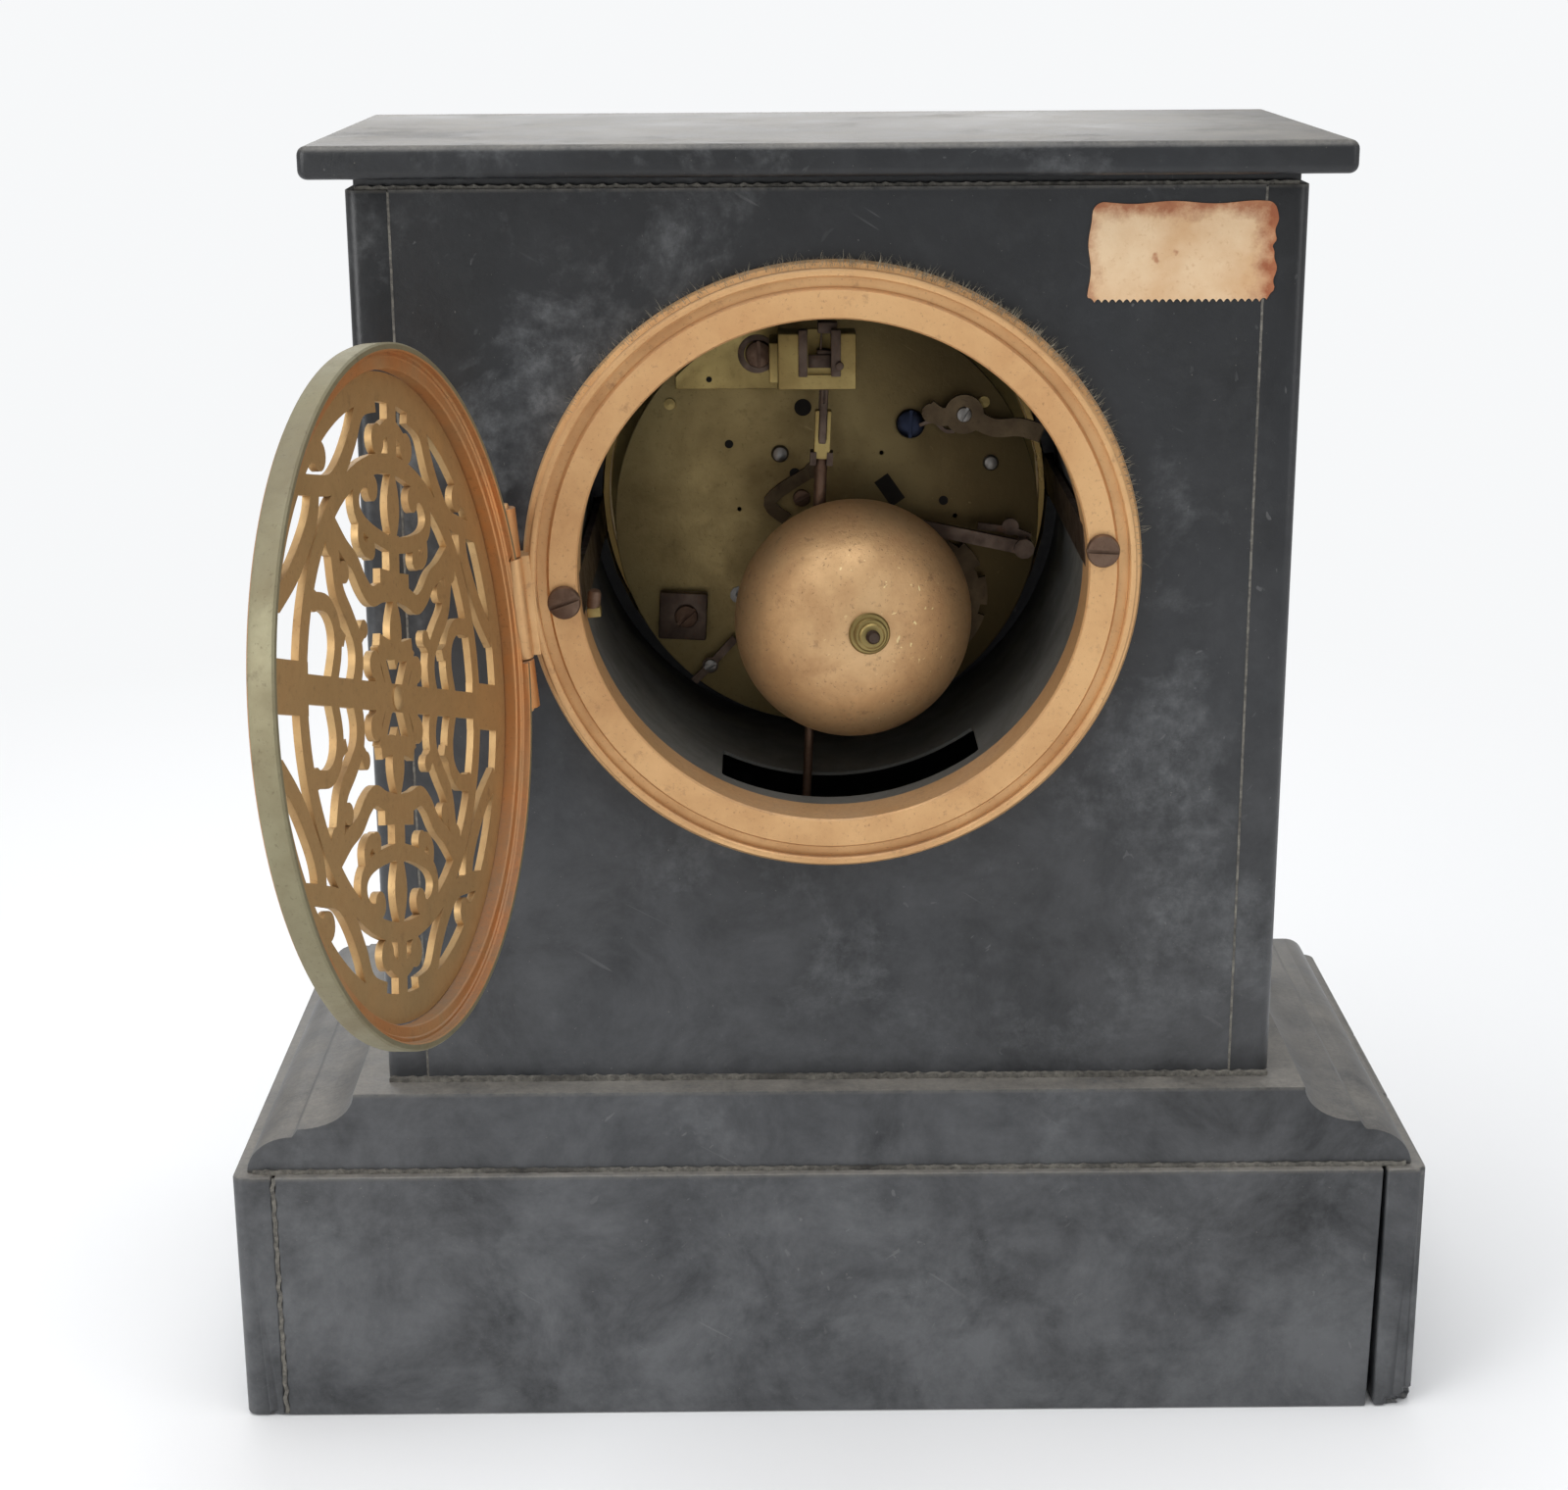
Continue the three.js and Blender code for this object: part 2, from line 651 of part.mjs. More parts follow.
function grille() {
  const back = bodyBack + grilleBack;
  const front = back + grilleThickness;
  const band = (inner, outer) => turned([[inner, back], [outer, back], [outer, front], [inner, front]]);
  const quarter = join(...fretStrips.map(({ line, width }) => plate(strip(line, width), back, front)));
  const half = join(quarter, quarter.mirror([0, 0, 1]));
  const bars = join(
    box([-60, back, -2.9], [60, front, 2.9]),
    box([-2.8, back, 19], [2.8, front, 63]),
    box([-2.8, back, -63], [2.8, front, -19]),
    plate(outline([[-8, 11], [8, 11], [3.6, 0], [8, -11], [-8, -11], [-3.6, 0]]), back, front),
    plate(outline([[-3, 10], [0, 21], [3, 10], [3, -10], [0, -21], [-3, -10]]), back, front),
  );
  const fret = join(half, half.mirror([1, 0, 0]), bars, band(46.5, 50.7));
  const whole = fret.scale([fretScale, 1, fretScale]);
  const centreBoss = turned([[0, back], [bossRadius, back], [bossRadius, front + 0.6], [0, front + 1.8]], 16);
  const turnedFret = whole.rotate([0, THREE.MathUtils.radToDeg(fretTurn), 0]);
  return join(turnedFret, band(grilleOuter - 6, grilleOuter), centreBoss);
}
add(door, 'rear_door_grille', grille(), 'brass');

// ---- front bezel, dial and glass ----
const front = new THREE.Group();
front.position.set(boreX, 0, boreZ);
clock.add(front);
const frontSeat = bodyFront - touch;
const flangeFront = bodyFront - frontFlangeRise;
const glassBack = flangeFront - 0.4;
const frontAxis = [frontHingeReach, flangeFront - 2.5];

function frontBezel() {
  const ring = turned([
    [frontCollarInner, bodyFront + bodyWall * 0.6], [frontCollarOuter, bodyFront + bodyWall * 0.6],
    [frontCollarOuter, frontSeat], [frontFlangeOuter, frontSeat], [frontFlangeOuter, flangeFront + 1],
    [glassRimOuter, flangeFront], [frontCollarInner, flangeFront],
  ]);
  const leaf = box(
    [glassRimOuter + 0.4, frontAxis[1], -frontKnuckleHalf],
    [frontHingeReach, frontSeat, frontKnuckleHalf],
  );
  const knuckle = post(frontKnuckleRadius, -frontKnuckleHalf, frontKnuckleHalf, frontAxis);
  const pinHole = post(
    frontPinRadius + runningClearance, -frontKnuckleHalf - 1, frontKnuckleHalf + 1, frontAxis,
  );
  const notches = box(
    [-strapOuter - 0.4, frontPlateFront - 0.4, -strapGapHalf],
    [strapOuter + 0.4, bodyFront + bodyWall, strapGapHalf],
  );
  return cut(join(ring, leaf, knuckle), pinHole, notches.rotate([0, THREE.MathUtils.radToDeg(rearTilt), 0]));
}
add(front, 'front_bezel', frontBezel(), 'brass');
add(front, 'front_hinge_pin', post(
  frontPinRadius, -frontKnuckleEnd - 0.6, frontKnuckleEnd + 0.6, frontAxis,
), 'brass');

function glassRim() {
  const face = glassBack - glassRimDepth;
  const seat = face + 1.6;
  const ring = turned([
    [glassRimInner, glassBack], [glassRimOuter, glassBack], [glassRimOuter, glassBack - 3.6],
    [glassRimOuter - 1.6, glassBack - 7], [glassRimOuter - 5, face + 0.8], [glassRimInner + 0.5, face],
    [sightRadius + 0.5, face + 0.8], [sightRadius, seat], [glassRimInner, seat],
  ]);
  const room = frontKnuckleHalf + 0.4;
  const knuckles = [[room, frontKnuckleEnd], [-frontKnuckleEnd, -room]].map(([low, high]) => join(
    post(frontKnuckleRadius, low, high, frontAxis),
    box([glassRimOuter - 3, frontAxis[1] - 1.2, low], [frontHingeReach, frontAxis[1] + 1.2, high]),
  ));
  const tab = box([-glassRimOuter - 3, glassBack - 3, -3], [-glassRimOuter + 1, glassBack - 1.4, 3]);
  const pinHole = post(
    frontPinRadius + runningClearance, -frontKnuckleEnd - 1, frontKnuckleEnd + 1, frontAxis,
  );
  return cut(join(ring, ...knuckles, tab), pinHole);
}
add(front, 'glass_bezel_frame', glassRim(), 'brass');
const glassSeat = glassBack - glassRimDepth + 1.6 + touch;
add(front, 'dial_glass', disc(
  glassRimInner - touch, glassSeat, glassSeat + glassThickness, roundSides,
), 'glass');

function dialPlate() {
  const centreHole = disc(3.2, dialFront - 1, dialRear + 1, 16);
  const holes = [1, -1].map(
    (side) => disc(
      windingHoleRadius, dialFront - 1, dialRear + 1, 16, [side * barrelPlace[0], barrelPlace[1]],
    ),
  );
  const feet = [0, 1, 2].map((i) => {
    const angle = Math.PI / 2 + (i * Math.PI * 2) / 3;
    const place = [Math.cos(angle) * 46, Math.sin(angle) * 46];
    return disc(dialFootRadius, dialRear - 1, frontPlateFront - touch, 8, place);
  });
  return cut(join(disc(dialRadius, dialFront, dialRear, roundSides), ...feet), centreHole, ...holes);
}
add(front, 'dial_plate', dialPlate(), 'enamel');

// ---- plates and pillars ----
const arborPlaces = [
  intermediatePlace, thirdPlace, escapePlace, pinWheelPlace, flyPlace, hammerPlace,
];
function plateHoles(yLow, yHigh, extra) {
  const pivots = arborPlaces.map((place) => disc(pivotRadius + runningClearance, yLow, yHigh, 8, place));
  const tenons = pillarPlaces.map(
    (place) => disc(pillarTenon + runningClearance, yLow, yHigh, smallSides, place),
  );
  const squares = [1, -1].map(
    (side) => disc(
      windingShaftRadius + windingShaftClearance, yLow, yHigh, smallSides,
      [side * barrelPlace[0], barrelPlace[1]],
    ),
  );
  return [...pivots, ...tenons, ...squares, ...extra];
}
add(front, 'front_plate', cut(
  disc(frontPlateRadius, frontPlateFront, frontPlateRear, roundSides),
  ...plateHoles(frontPlateFront - 1, frontPlateRear + 1, [
    disc(1.6 + runningClearance, frontPlateFront - 1, frontPlateRear + 1, smallSides),
    disc(pivotRadius + runningClearance, frontPlateFront - 1, frontPlateRear + 1, 8, anchorPlace),
    disc(0.8 + runningClearance, frontPlateFront - 1, frontPlateRear + 1, 8, minuteWheelPlace),
  ]),
), 'brass');
add(front, 'back_plate', cut(
  disc(backPlateRadius, backPlateFront, backPlateRear, roundSides),
  ...plateHoles(backPlateFront - 1, backPlateRear + 1, [
    disc(pivotRadius + runningClearance, backPlateFront - 1, backPlateRear + 1, 8),
    disc(3, backPlateFront - 1, backPlateRear + 1, 16, anchorPlace),
  ]),
), 'brass');
pillarPlaces.forEach(([x, z], i) => {
  const pillar = turned([
    [0, frontPlateFront - 0.6], [pillarTenon, frontPlateFront - 0.6],
    [pillarTenon, frontPlateRear + touch / 3],
    [pillarRadius, frontPlateRear + touch / 3], [pillarRadius, backPlateFront - touch / 3],
    [pillarTenon, backPlateFront - touch / 3], [pillarTenon, backPlateRear + 1], [0, backPlateRear + 1.2],
  ], smallSides);
  add(front, `pillar_${i + 1}`, pillar, 'brass', [x, 0, z]);
});

// ---- going train ----
const barrelFront = frontPlateRear + 1.5;
const barrelRear = barrelFront + barrelHeight;
const layer = {
  barrelTeeth: [barrelFront, barrelFront + 2.5],
  third: [barrelRear + 1.6, barrelRear + 1.6 + wheelThickness],
  intermediate: [barrelRear + 4.2, barrelRear + 4.2 + wheelThickness],
  centre: [barrelRear + 7, barrelRear + 7 + wheelThickness],
  escape: [barrelFront + 4, barrelFront + 4 + wheelThickness],
};
const centre = [0, 0];
const barrelPair = pair(barrelPlace, intermediatePlace, barrelTeeth, pinionLeaves);
const intermediatePair = pair(intermediatePlace, centre, intermediateTeeth, pinionLeaves);
const centrePair = pair(centre, thirdPlace, trainTeeth, trainLeaves);
const thirdPair = pair(thirdPlace, escapePlace, trainTeeth, trainLeaves);

function pinion(radius, leaves, [low, high]) {
  return toothedWheel(radius, leaves, low - 1, high + 1, Math.min(0.9, radius * 0.35));
}

const barrelInside = barrelRadius - toothDepth - 0.4 - barrelWall;

// A barrel: a hollow toothed drum round its spring, open only where its arbor passes.
function barrel() {
  const teeth = toothedWheel(barrelPair.wheel, barrelTeeth, ...layer.barrelTeeth);
  const drum = turned([
    [barrelInside, barrelFront + 2], [barrelInside + barrelWall, barrelFront + 2],
    [barrelInside + barrelWall, barrelRear], [2.6, barrelRear], [2.6, barrelRear - barrelWall],
    [barrelInside, barrelRear - barrelWall],
  ], 20);
  return cut(join(teeth, drum), disc(2.6, barrelFront - 1, barrelFront + 3));
}

// The wound spring, as the solid pack that it makes in its barrel.
function mainspring() {
  const outer = barrelInside - touch;
  const low = barrelFront + 2.5 + touch;
  const high = barrelRear - barrelWall - touch;
  return turned([[9, low], [outer, low], [outer, high], [9, high]], 20);
}

// A winding arbor: its square shows through the dial, and a pin stands behind the back plate.
function windingArbor() {
  const shaft = disc(windingShaftRadius, frontPlateFront - 0.5, backPlateRear + 0.5);
  const hub = disc(8.6, barrelFront + 3, barrelRear - barrelWall - 0.4, 14);
  const pin = disc(0.8, backPlateRear, backPlateRear + 3.4, 8);
  const square = box(
    [-squareHalf, dialFront + 0.2, -squareHalf],
    [squareHalf, frontPlateFront, squareHalf],
  );
  return join(shaft, hub, pin, square);
}
for (const [side, sign] of [['going', 1], ['strike', -1]]) {
  const place = [sign * barrelPlace[0], 0, barrelPlace[1]];
  add(front, `${side}_barrel`, barrel(), 'brass', place);
  add(front, `${side}_mainspring`, mainspring(), 'blueSteel', place);
  add(front, `${side}_winding_arbor`, windingArbor(), 'steel', place);
}

add(front, 'intermediate_wheel', join(
  arbor(),
  toothedWheel(intermediatePair.wheel, intermediateTeeth, ...layer.intermediate),
  pinion(barrelPair.pinion, pinionLeaves, layer.barrelTeeth),
), 'brass', [intermediatePlace[0], 0, intermediatePlace[1]]);

// The centre arbor carries the cannon pinion in front of the plate.
const cannonRear = frontPlateFront - 0.5;
const hourHandY = dialFront - 1.2;
const minuteHandY = dialFront - 2.8;
function centreArbor() {
  const shaft = turned([
    [0, minuteHandY - 1.6], [0.9, minuteHandY - 1.6], [0.9, cannonRear + 0.2], [1.6, cannonRear + 0.2],
    [1.6, backPlateFront - touch], [pivotRadius, backPlateFront - touch], [pivotRadius, backPlateRear],
    [0, backPlateRear],
  ], smallSides);
  return join(
    shaft,
    toothedWheel(centrePair.wheel, trainTeeth, ...layer.centre),
    pinion(intermediatePair.pinion, pinionLeaves, layer.intermediate),
  );
}
add(front, 'centre_wheel', centreArbor(), 'brass');
add(front, 'third_wheel', join(
  arbor(),
  toothedWheel(thirdPair.wheel, trainTeeth, ...layer.third),
  pinion(centrePair.pinion, trainLeaves, layer.centre),
), 'brass', [thirdPlace[0], 0, thirdPlace[1]]);

// Pointed teeth that lean one way.
function escapeWheelShape() {
  const points = [];
  for (let i = 0; i < escapeTeeth; i += 1) {
    const angle = (i * Math.PI * 2) / escapeTeeth;
    const lean = (Math.PI * 2 * 0.35) / escapeTeeth;
    points.push([escapeRadius * Math.cos(angle + lean), escapeRadius * Math.sin(angle + lean)]);
    const root = escapeRadius - 2;
    points.push([root * Math.cos(angle + lean * 1.3), root * Math.sin(angle + lean * 1.3)]);
  }
  return outline(points);
}
add(front, 'escape_wheel', join(
  arbor(),
  plate(escapeWheelShape(), ...layer.escape),
  pinion(thirdPair.pinion, trainLeaves, layer.third),
), 'brass', [escapePlace[0], 0, escapePlace[1]]);

// ---- strike train ----
const pinPair = pair(pinWheelPlace, flyPlace, barrelTeeth, pinionLeaves);
const strikePair = pair([-barrelPlace[0], barrelPlace[1]], pinWheelPlace, barrelTeeth, pinionLeaves);
function pinWheel() {
  const pins = [];
  for (let i = 0; i < 10; i += 1) {
    const angle = (i * Math.PI * 2) / 10;
    const place = [Math.cos(angle) * pinPair.wheel * 0.8, Math.sin(angle) * pinPair.wheel * 0.8];
    pins.push(disc(0.5, layer.intermediate[0] - 1.2, layer.intermediate[0] + 0.2, 4, place));
  }
  return join(
    arbor(),
    toothedWheel(pinPair.wheel, barrelTeeth, ...layer.intermediate),
    pinion(strikePair.pinion, pinionLeaves, layer.barrelTeeth),
    ...pins,
  );
}
add(front, 'pin_wheel', pinWheel(), 'brass', [pinWheelPlace[0], 0, pinWheelPlace[1]]);
add(front, 'fly', join(
  arbor(0.9),
  box([-6, barrelFront + 4, -0.3], [6, barrelRear - 3, 0.3]),
  pinion(pinPair.pinion, pinionLeaves, layer.intermediate),
), 'brass', [flyPlace[0], 0, flyPlace[1]]);

// The count wheel turns on the rear end of the strike side's back plate.
function countWheel() {
  const rimLow = backPlateRear + 2;
  const shape = new THREE.Shape();
  const notches = 11;
  for (let i = 0; i < notches; i += 1) {
    const start = (i * Math.PI * 2) / notches;
    const sweep = ((Math.PI * 2) / notches) * (0.55 + 0.035 * i);
    shape.absarc(0, 0, countWheelRadius, start, start + sweep, false);
    const end = ((i + 1) * Math.PI * 2) / notches;
    shape.absarc(0, 0, countWheelRadius - 1.8, start + sweep, end, false);
  }
  const rim = plate(shape, rimLow, rimLow + 1.4, 2);
  const hub = disc(3.4, backPlateRear + 0.9, rimLow + 2.6, smallSides);
  return cut(join(rim, hub), disc(0.9, backPlateRear, rimLow + 2, 8));
}
add(front, 'count_wheel', countWheel(), 'darkBrass', [-barrelPlace[0], 0, barrelPlace[1]]);

// ---- motion work and hands, shown at ten past ten ----
const cannonLayer = [frontPlateFront - 1.7, frontPlateFront - 0.6];
const hourLayer = [dialRear + 0.8, dialRear + 1.8];
const minutePair = pair(minuteWheelPlace, centre, minuteTeeth, cannonTeeth);
const hourPair = pair(centre, minuteWheelPlace, hourTeeth, minutePinionTeeth);
const tube = (inner, outer, low, high) => turned(
  [[inner, low], [outer, low], [outer, high], [inner, high]], smallSides,
);
const hollow = (piece, radius) => cut(piece, disc(radius, minuteHandY - 5, frontPlateRear, smallSides));
add(front, 'cannon_pinion', hollow(join(
  disc(1.5, minuteHandY + 0.1, cannonRear),
  toothedWheel(minutePair.pinion, cannonTeeth, ...cannonLayer, 0.9),
), 1), 'steel');
add(front, 'minute_wheel', join(
  toothedWheel(minutePair.wheel, minuteTeeth, ...cannonLayer),
  toothedWheel(hourPair.pinion, minutePinionTeeth, hourLayer[0] - 0.2, cannonLayer[0] + 0.1, 0.7),
  disc(0.8, hourLayer[0] - 0.4, frontPlateRear, 8),
), 'brass', [minuteWheelPlace[0], 0, minuteWheelPlace[1]]);
add(front, 'hour_wheel', join(
  hollow(toothedWheel(hourPair.wheel, hourTeeth, ...hourLayer), 1.7),
  tube(1.7, 2.3, hourHandY + 0.1, hourLayer[1]),
), 'brass');

// A hand: a boss, a tapering blade, a pierced ring and a point.
function hand(length, y, bore) {
  const ringAt = length * 0.68;
  const ringRadius = length * 0.085;
  const blade = outline([
    [-0.55, length * 0.98], [-1.1, ringAt], [-0.7, ringAt], [-1.3, 0],
    [1.3, 0], [0.7, ringAt], [1.1, ringAt], [0.55, length * 0.98], [0, length],
  ]);
  const ring = disc(ringRadius, y - 0.5, y, 14, [0, ringAt]);
  const eye = disc(ringRadius * 0.55, y - 1, y + 1, smallSides, [0, ringAt + ringRadius * 0.2]);
  const boss = disc(3.2, y - 0.5, y, 14);
  const joined = cut(join(plate(blade, y - 0.5, y), ring, boss), eye);
  return cut(joined, disc(bore, y - 2, y + 2, smallSides));
}
const minuteAngle = THREE.MathUtils.degToRad(60);
const hourAngle = THREE.MathUtils.degToRad(305);
add(front, 'minute_hand', hand(minuteHandLength, minuteHandY, 1), 'blueSteel').rotation.y = minuteAngle;
add(front, 'hour_hand', hand(hourHandLength, hourHandY, 1.7), 'blueSteel').rotation.y = hourAngle;

// ---- suspension cock: a foot on the back plate, an arm and a grooved block ----
const blockLow = 36.5;
const blockHigh = 51.5;
const blockFront = pendulumPlane - 5;
const blockRear = pendulumPlane + 5;
function suspensionCock() {
  const foot = box([12, backPlateRear, 34.5], [38, backPlateRear + 4, 50]);
  const rounded = foot.intersect(disc(backPlateRadius - 1, 0, 10, roundSides));
  const arm = box([8, backPlateRear, blockLow], [15, blockRear, 47]);
  const block = box([-8, blockFront, blockLow], [13, blockRear, blockHigh]);
  const groove = box(
    [anchorPlace[0] - 2.6, pendulumPlane - 3, blockLow - 1],
    [anchorPlace[0] + 2.6, blockRear + 1, blockHigh + 1],
  );
  const pivotHole = disc(pivotRadius + runningClearance, blockFront - 1, blockFront + 1.6, 8, anchorPlace);
  return cut(join(rounded, arm, block), groove, pivotHole);
}
add(front, 'suspension_cock', suspensionCock(), 'brass');

// ---- what swings: the anchor with its crutch, and the pendulum, hung from one line ----
const swing = new THREE.Group();
swing.position.set(boreX + anchorPlace[0], 0, boreZ + anchorPlace[1]);
swing.rotation.y = -pendulumLean;
clock.add(swing);

function anchorAndCrutch() {
  const shaft = turned([
    [0, frontPlateFront], [pivotRadius, frontPlateFront], [pivotRadius, frontPlateRear + touch],
    [arborRadius, frontPlateRear + touch], [arborRadius, blockFront - touch],
    [pivotRadius, blockFront - touch], [pivotRadius, blockFront + 1.4], [0, blockFront + 1.4],
  ], smallSides);
  const arm = [[2.4, 1.6], [9.6, -5], [10.4, -9], [9.2, -8.2], [7.6, -4.6], [2, -1.6]];
  const anchorShape = outline([...arm, ...arm.map(([x, z]) => [-x, z]).reverse()]);
  const crutchFront = backPlateRear + 10;
  const forkHalf = rodRadius + 0.2;
  const prong = [1, -1].map((side) => box(
    [side > 0 ? forkHalf : -forkHalf - 1.5, pendulumPlane - 2.6, -forkDrop - 1.6],
    [side > 0 ? forkHalf + 1.5 : -forkHalf, pendulumPlane + 2.2, -forkDrop + 1.6],
  ));
  return join(
    shaft,
    plate(anchorShape, ...layer.escape),
    box([-0.9, crutchFront, -forkDrop - 1], [0.9, crutchFront + 1.8, 0]),
    box([-1.1, crutchFront, -forkDrop - 1.2], [1.1, pendulumPlane - 1.6, -forkDrop + 1.2]),
    box(
      [-forkHalf - 1.5, pendulumPlane - 2.6, -forkDrop - 1.6],
      [forkHalf + 1.5, pendulumPlane - 1.6, -forkDrop + 1.6],
    ),
    ...prong,
  );
}
add(swing, 'anchor_and_crutch', anchorAndCrutch(), 'steel');
const springHalfWidth = springWidth / 2;
add(swing, 'suspension_spring', join(
  box(
    [-0.15, pendulumPlane - springHalfWidth + 0.3, -springHalfLength],
    [0.15, pendulumPlane + springHalfWidth - 0.3, springHalfLength],
  ),
  ...[-springHalfLength, springHalfLength].map((middle) => box(
    [-1.5, pendulumPlane - springHalfWidth, middle - 1.5],
    [1.5, pendulumPlane + springHalfWidth, middle + 1.5],
  )),
), 'steel');
const rodTop = -springHalfLength - 1.5 - touch;
const nutTop = -bobDrop - bobRadius - touch;
const nutHeight = 3;
add(swing, 'pendulum_rod', post(rodRadius, nutTop - nutHeight - 3, rodTop, [0, pendulumPlane]), 'steel');
function bob() {
  const half = bobThickness / 2;
  const lens = turned([
    [0, pendulumPlane - half], [bobRadius * 0.55, pendulumPlane - half * 0.85],
    [bobRadius - 0.8, pendulumPlane - 1], [bobRadius, pendulumPlane], [bobRadius - 0.8, pendulumPlane + 1],
    [bobRadius * 0.55, pendulumPlane + half * 0.85],
    [0, pendulumPlane + half],
  ], 24).translate([0, 0, -bobDrop]);
  const rodHole = post(
    rodRadius + 0.2, -bobDrop - bobRadius - 1, -bobDrop + bobRadius + 1, [0, pendulumPlane],
  );
  return cut(lens, rodHole);
}
add(swing, 'pendulum_bob', bob(), 'brass');
add(swing, 'rating_nut', cut(
  post(4, nutTop - nutHeight, nutTop, [0, pendulumPlane], 16),
  post(rodRadius + runningClearance, nutTop - nutHeight - 1, nutTop + 1, [0, pendulumPlane]),
), 'brass');

// ---- bell on its post, leaning a little ----
const leaning = (piece) => piece
  .rotate([THREE.MathUtils.radToDeg(bellLift), 0, THREE.MathUtils.radToDeg(bellTurn)])
  .translate(bellPlace);
function bell() {
  const steps = 6;
  const curve = (radius, height, from, to) => {
    const points = [];
    for (let i = 0; i <= steps; i += 1) {
      const angle = from + ((to - from) * i) / steps;
      points.push([radius * Math.cos(angle), height * Math.sin(angle)]);
    }
    return points;
  };
  const apex = (radius) => Math.acos((postRadius + 0.3) / radius);
  const inner = bellRadius - bellWall;
  return turned([
    ...curve(bellRadius, bellHeight, 0, apex(bellRadius)),
    ...curve(inner, bellHeight - bellWall, apex(inner), 0),
  ], roundSides);
}
add(front, 'bell', leaning(bell()), 'bellMetal');
function bellPost() {
  const seat = bellHeight - bellWall;
  const foot = (backPlateRear + 0.9 - bellPlace[1]) / Math.cos(bellTurn);
  const shaft = turned([
    [0, foot], [postRadius, foot], [postRadius, seat - 4], [3.2, seat - 3], [3.2, seat - touch],
    [postRadius, seat - touch], [postRadius, bellHeight + 6.5], [0, bellHeight + 7],
  ], smallSides);
  const reach = bellPlace[1] - backPlateRear;
  const footPlace = [
    bellPlace[0] + reach * Math.tan(bellTurn),
    bellPlace[2] - reach * Math.tan(bellLift),
  ];
  return join(leaning(shaft), disc(2.4, backPlateRear, backPlateRear + 1.6, smallSides, footPlace));
}
add(front, 'bell_post', bellPost(), 'steel');
add(front, 'bell_nut', leaning(turned([
  [postRadius + runningClearance, bellHeight + touch], [4.2, bellHeight + touch], [4.2, bellHeight + 2.6],
  [3, bellHeight + 4.6], [postRadius + runningClearance, bellHeight + 4.6],
], smallSides)), 'brass');

// ---- hammer: an arbor between the plates, an arm behind them and a head inside the bell's mouth ----
function hammer() {
  const headReach = bellRadius - bellWall - 4.6;
  const headTurn = THREE.MathUtils.degToRad(29);
  const headPlace = [
    bellPlace[0] - headReach * Math.sin(headTurn),
    bellPlace[2] + headReach * Math.cos(headTurn),
  ];
  const armLength = distance(hammerPlace, headPlace);
  const armAngle = Math.atan2(headPlace[1] - hammerPlace[1], headPlace[0] - hammerPlace[0]);
  const armFront = backPlateRear + 8;
  const arm = join(
    disc(2.6, armFront - 1, armFront + 3.4, smallSides),
    box([0, armFront, -1.7], [armLength, armFront + 2.4, 1.7]),
    disc(2.5, armFront, bellPlace[1] + 0.5, smallSides, [armLength, 0]),
  );
  return join(arbor(arborRadius, armFront), arm.rotate([0, -THREE.MathUtils.radToDeg(armAngle), 0]));
}
add(front, 'hammer', hammer(), 'steel', [hammerPlace[0], 0, hammerPlace[1]]);

export default clock;
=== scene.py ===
import bmesh
import bpy
import json
import math
import random
from mathutils import Matrix, Vector

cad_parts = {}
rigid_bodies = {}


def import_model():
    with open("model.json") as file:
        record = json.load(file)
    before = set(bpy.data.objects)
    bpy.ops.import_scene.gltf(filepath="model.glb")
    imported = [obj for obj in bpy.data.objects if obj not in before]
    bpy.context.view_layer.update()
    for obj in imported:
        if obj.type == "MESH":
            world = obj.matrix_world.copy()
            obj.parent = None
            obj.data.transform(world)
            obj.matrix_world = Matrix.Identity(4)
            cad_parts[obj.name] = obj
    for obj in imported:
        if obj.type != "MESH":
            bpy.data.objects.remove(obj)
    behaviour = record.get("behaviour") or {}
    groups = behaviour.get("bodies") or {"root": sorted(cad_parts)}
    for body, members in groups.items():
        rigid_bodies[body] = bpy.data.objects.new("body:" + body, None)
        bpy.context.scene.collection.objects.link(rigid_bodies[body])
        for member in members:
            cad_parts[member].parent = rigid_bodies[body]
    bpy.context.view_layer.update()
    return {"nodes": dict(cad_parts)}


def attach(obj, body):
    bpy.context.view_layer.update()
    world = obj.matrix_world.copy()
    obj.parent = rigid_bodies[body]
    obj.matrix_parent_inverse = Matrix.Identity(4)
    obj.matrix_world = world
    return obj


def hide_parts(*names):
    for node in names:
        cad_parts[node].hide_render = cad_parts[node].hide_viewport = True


for spare in [made for made in bpy.data.objects if made.name in ("Cube", "Light", "Camera")]:
    bpy.data.objects.remove(spare)
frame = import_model()

# A black slate mantel clock seen from its back, with the pierced brass door open.
# Sizes are in millimetres and become metres in the meshes; +Y is the clock's back.
mm = 0.001

case = dict(
    plinthWidth=297, plinthDepth=150, plinthHeight=66, mouldHeight=21,
    bodyWidth=220, bodyFront=-36.5, bodyBack=63.5, bodyTop=305.5, slabLow=308.5, slabHigh=316,
)
bore = dict(x=-1, z=216.5, tilt=math.radians(5.2))
hinge = dict(reach=74.4, y=71.9, open=math.radians(102.6))
pivot = dict(x=0.7, z=45.5, y=27, lean=math.radians(2.6))
bellSet = dict(x=-5.9, y=31, z=-19.5, turn=math.radians(8), lift=math.radians(4))

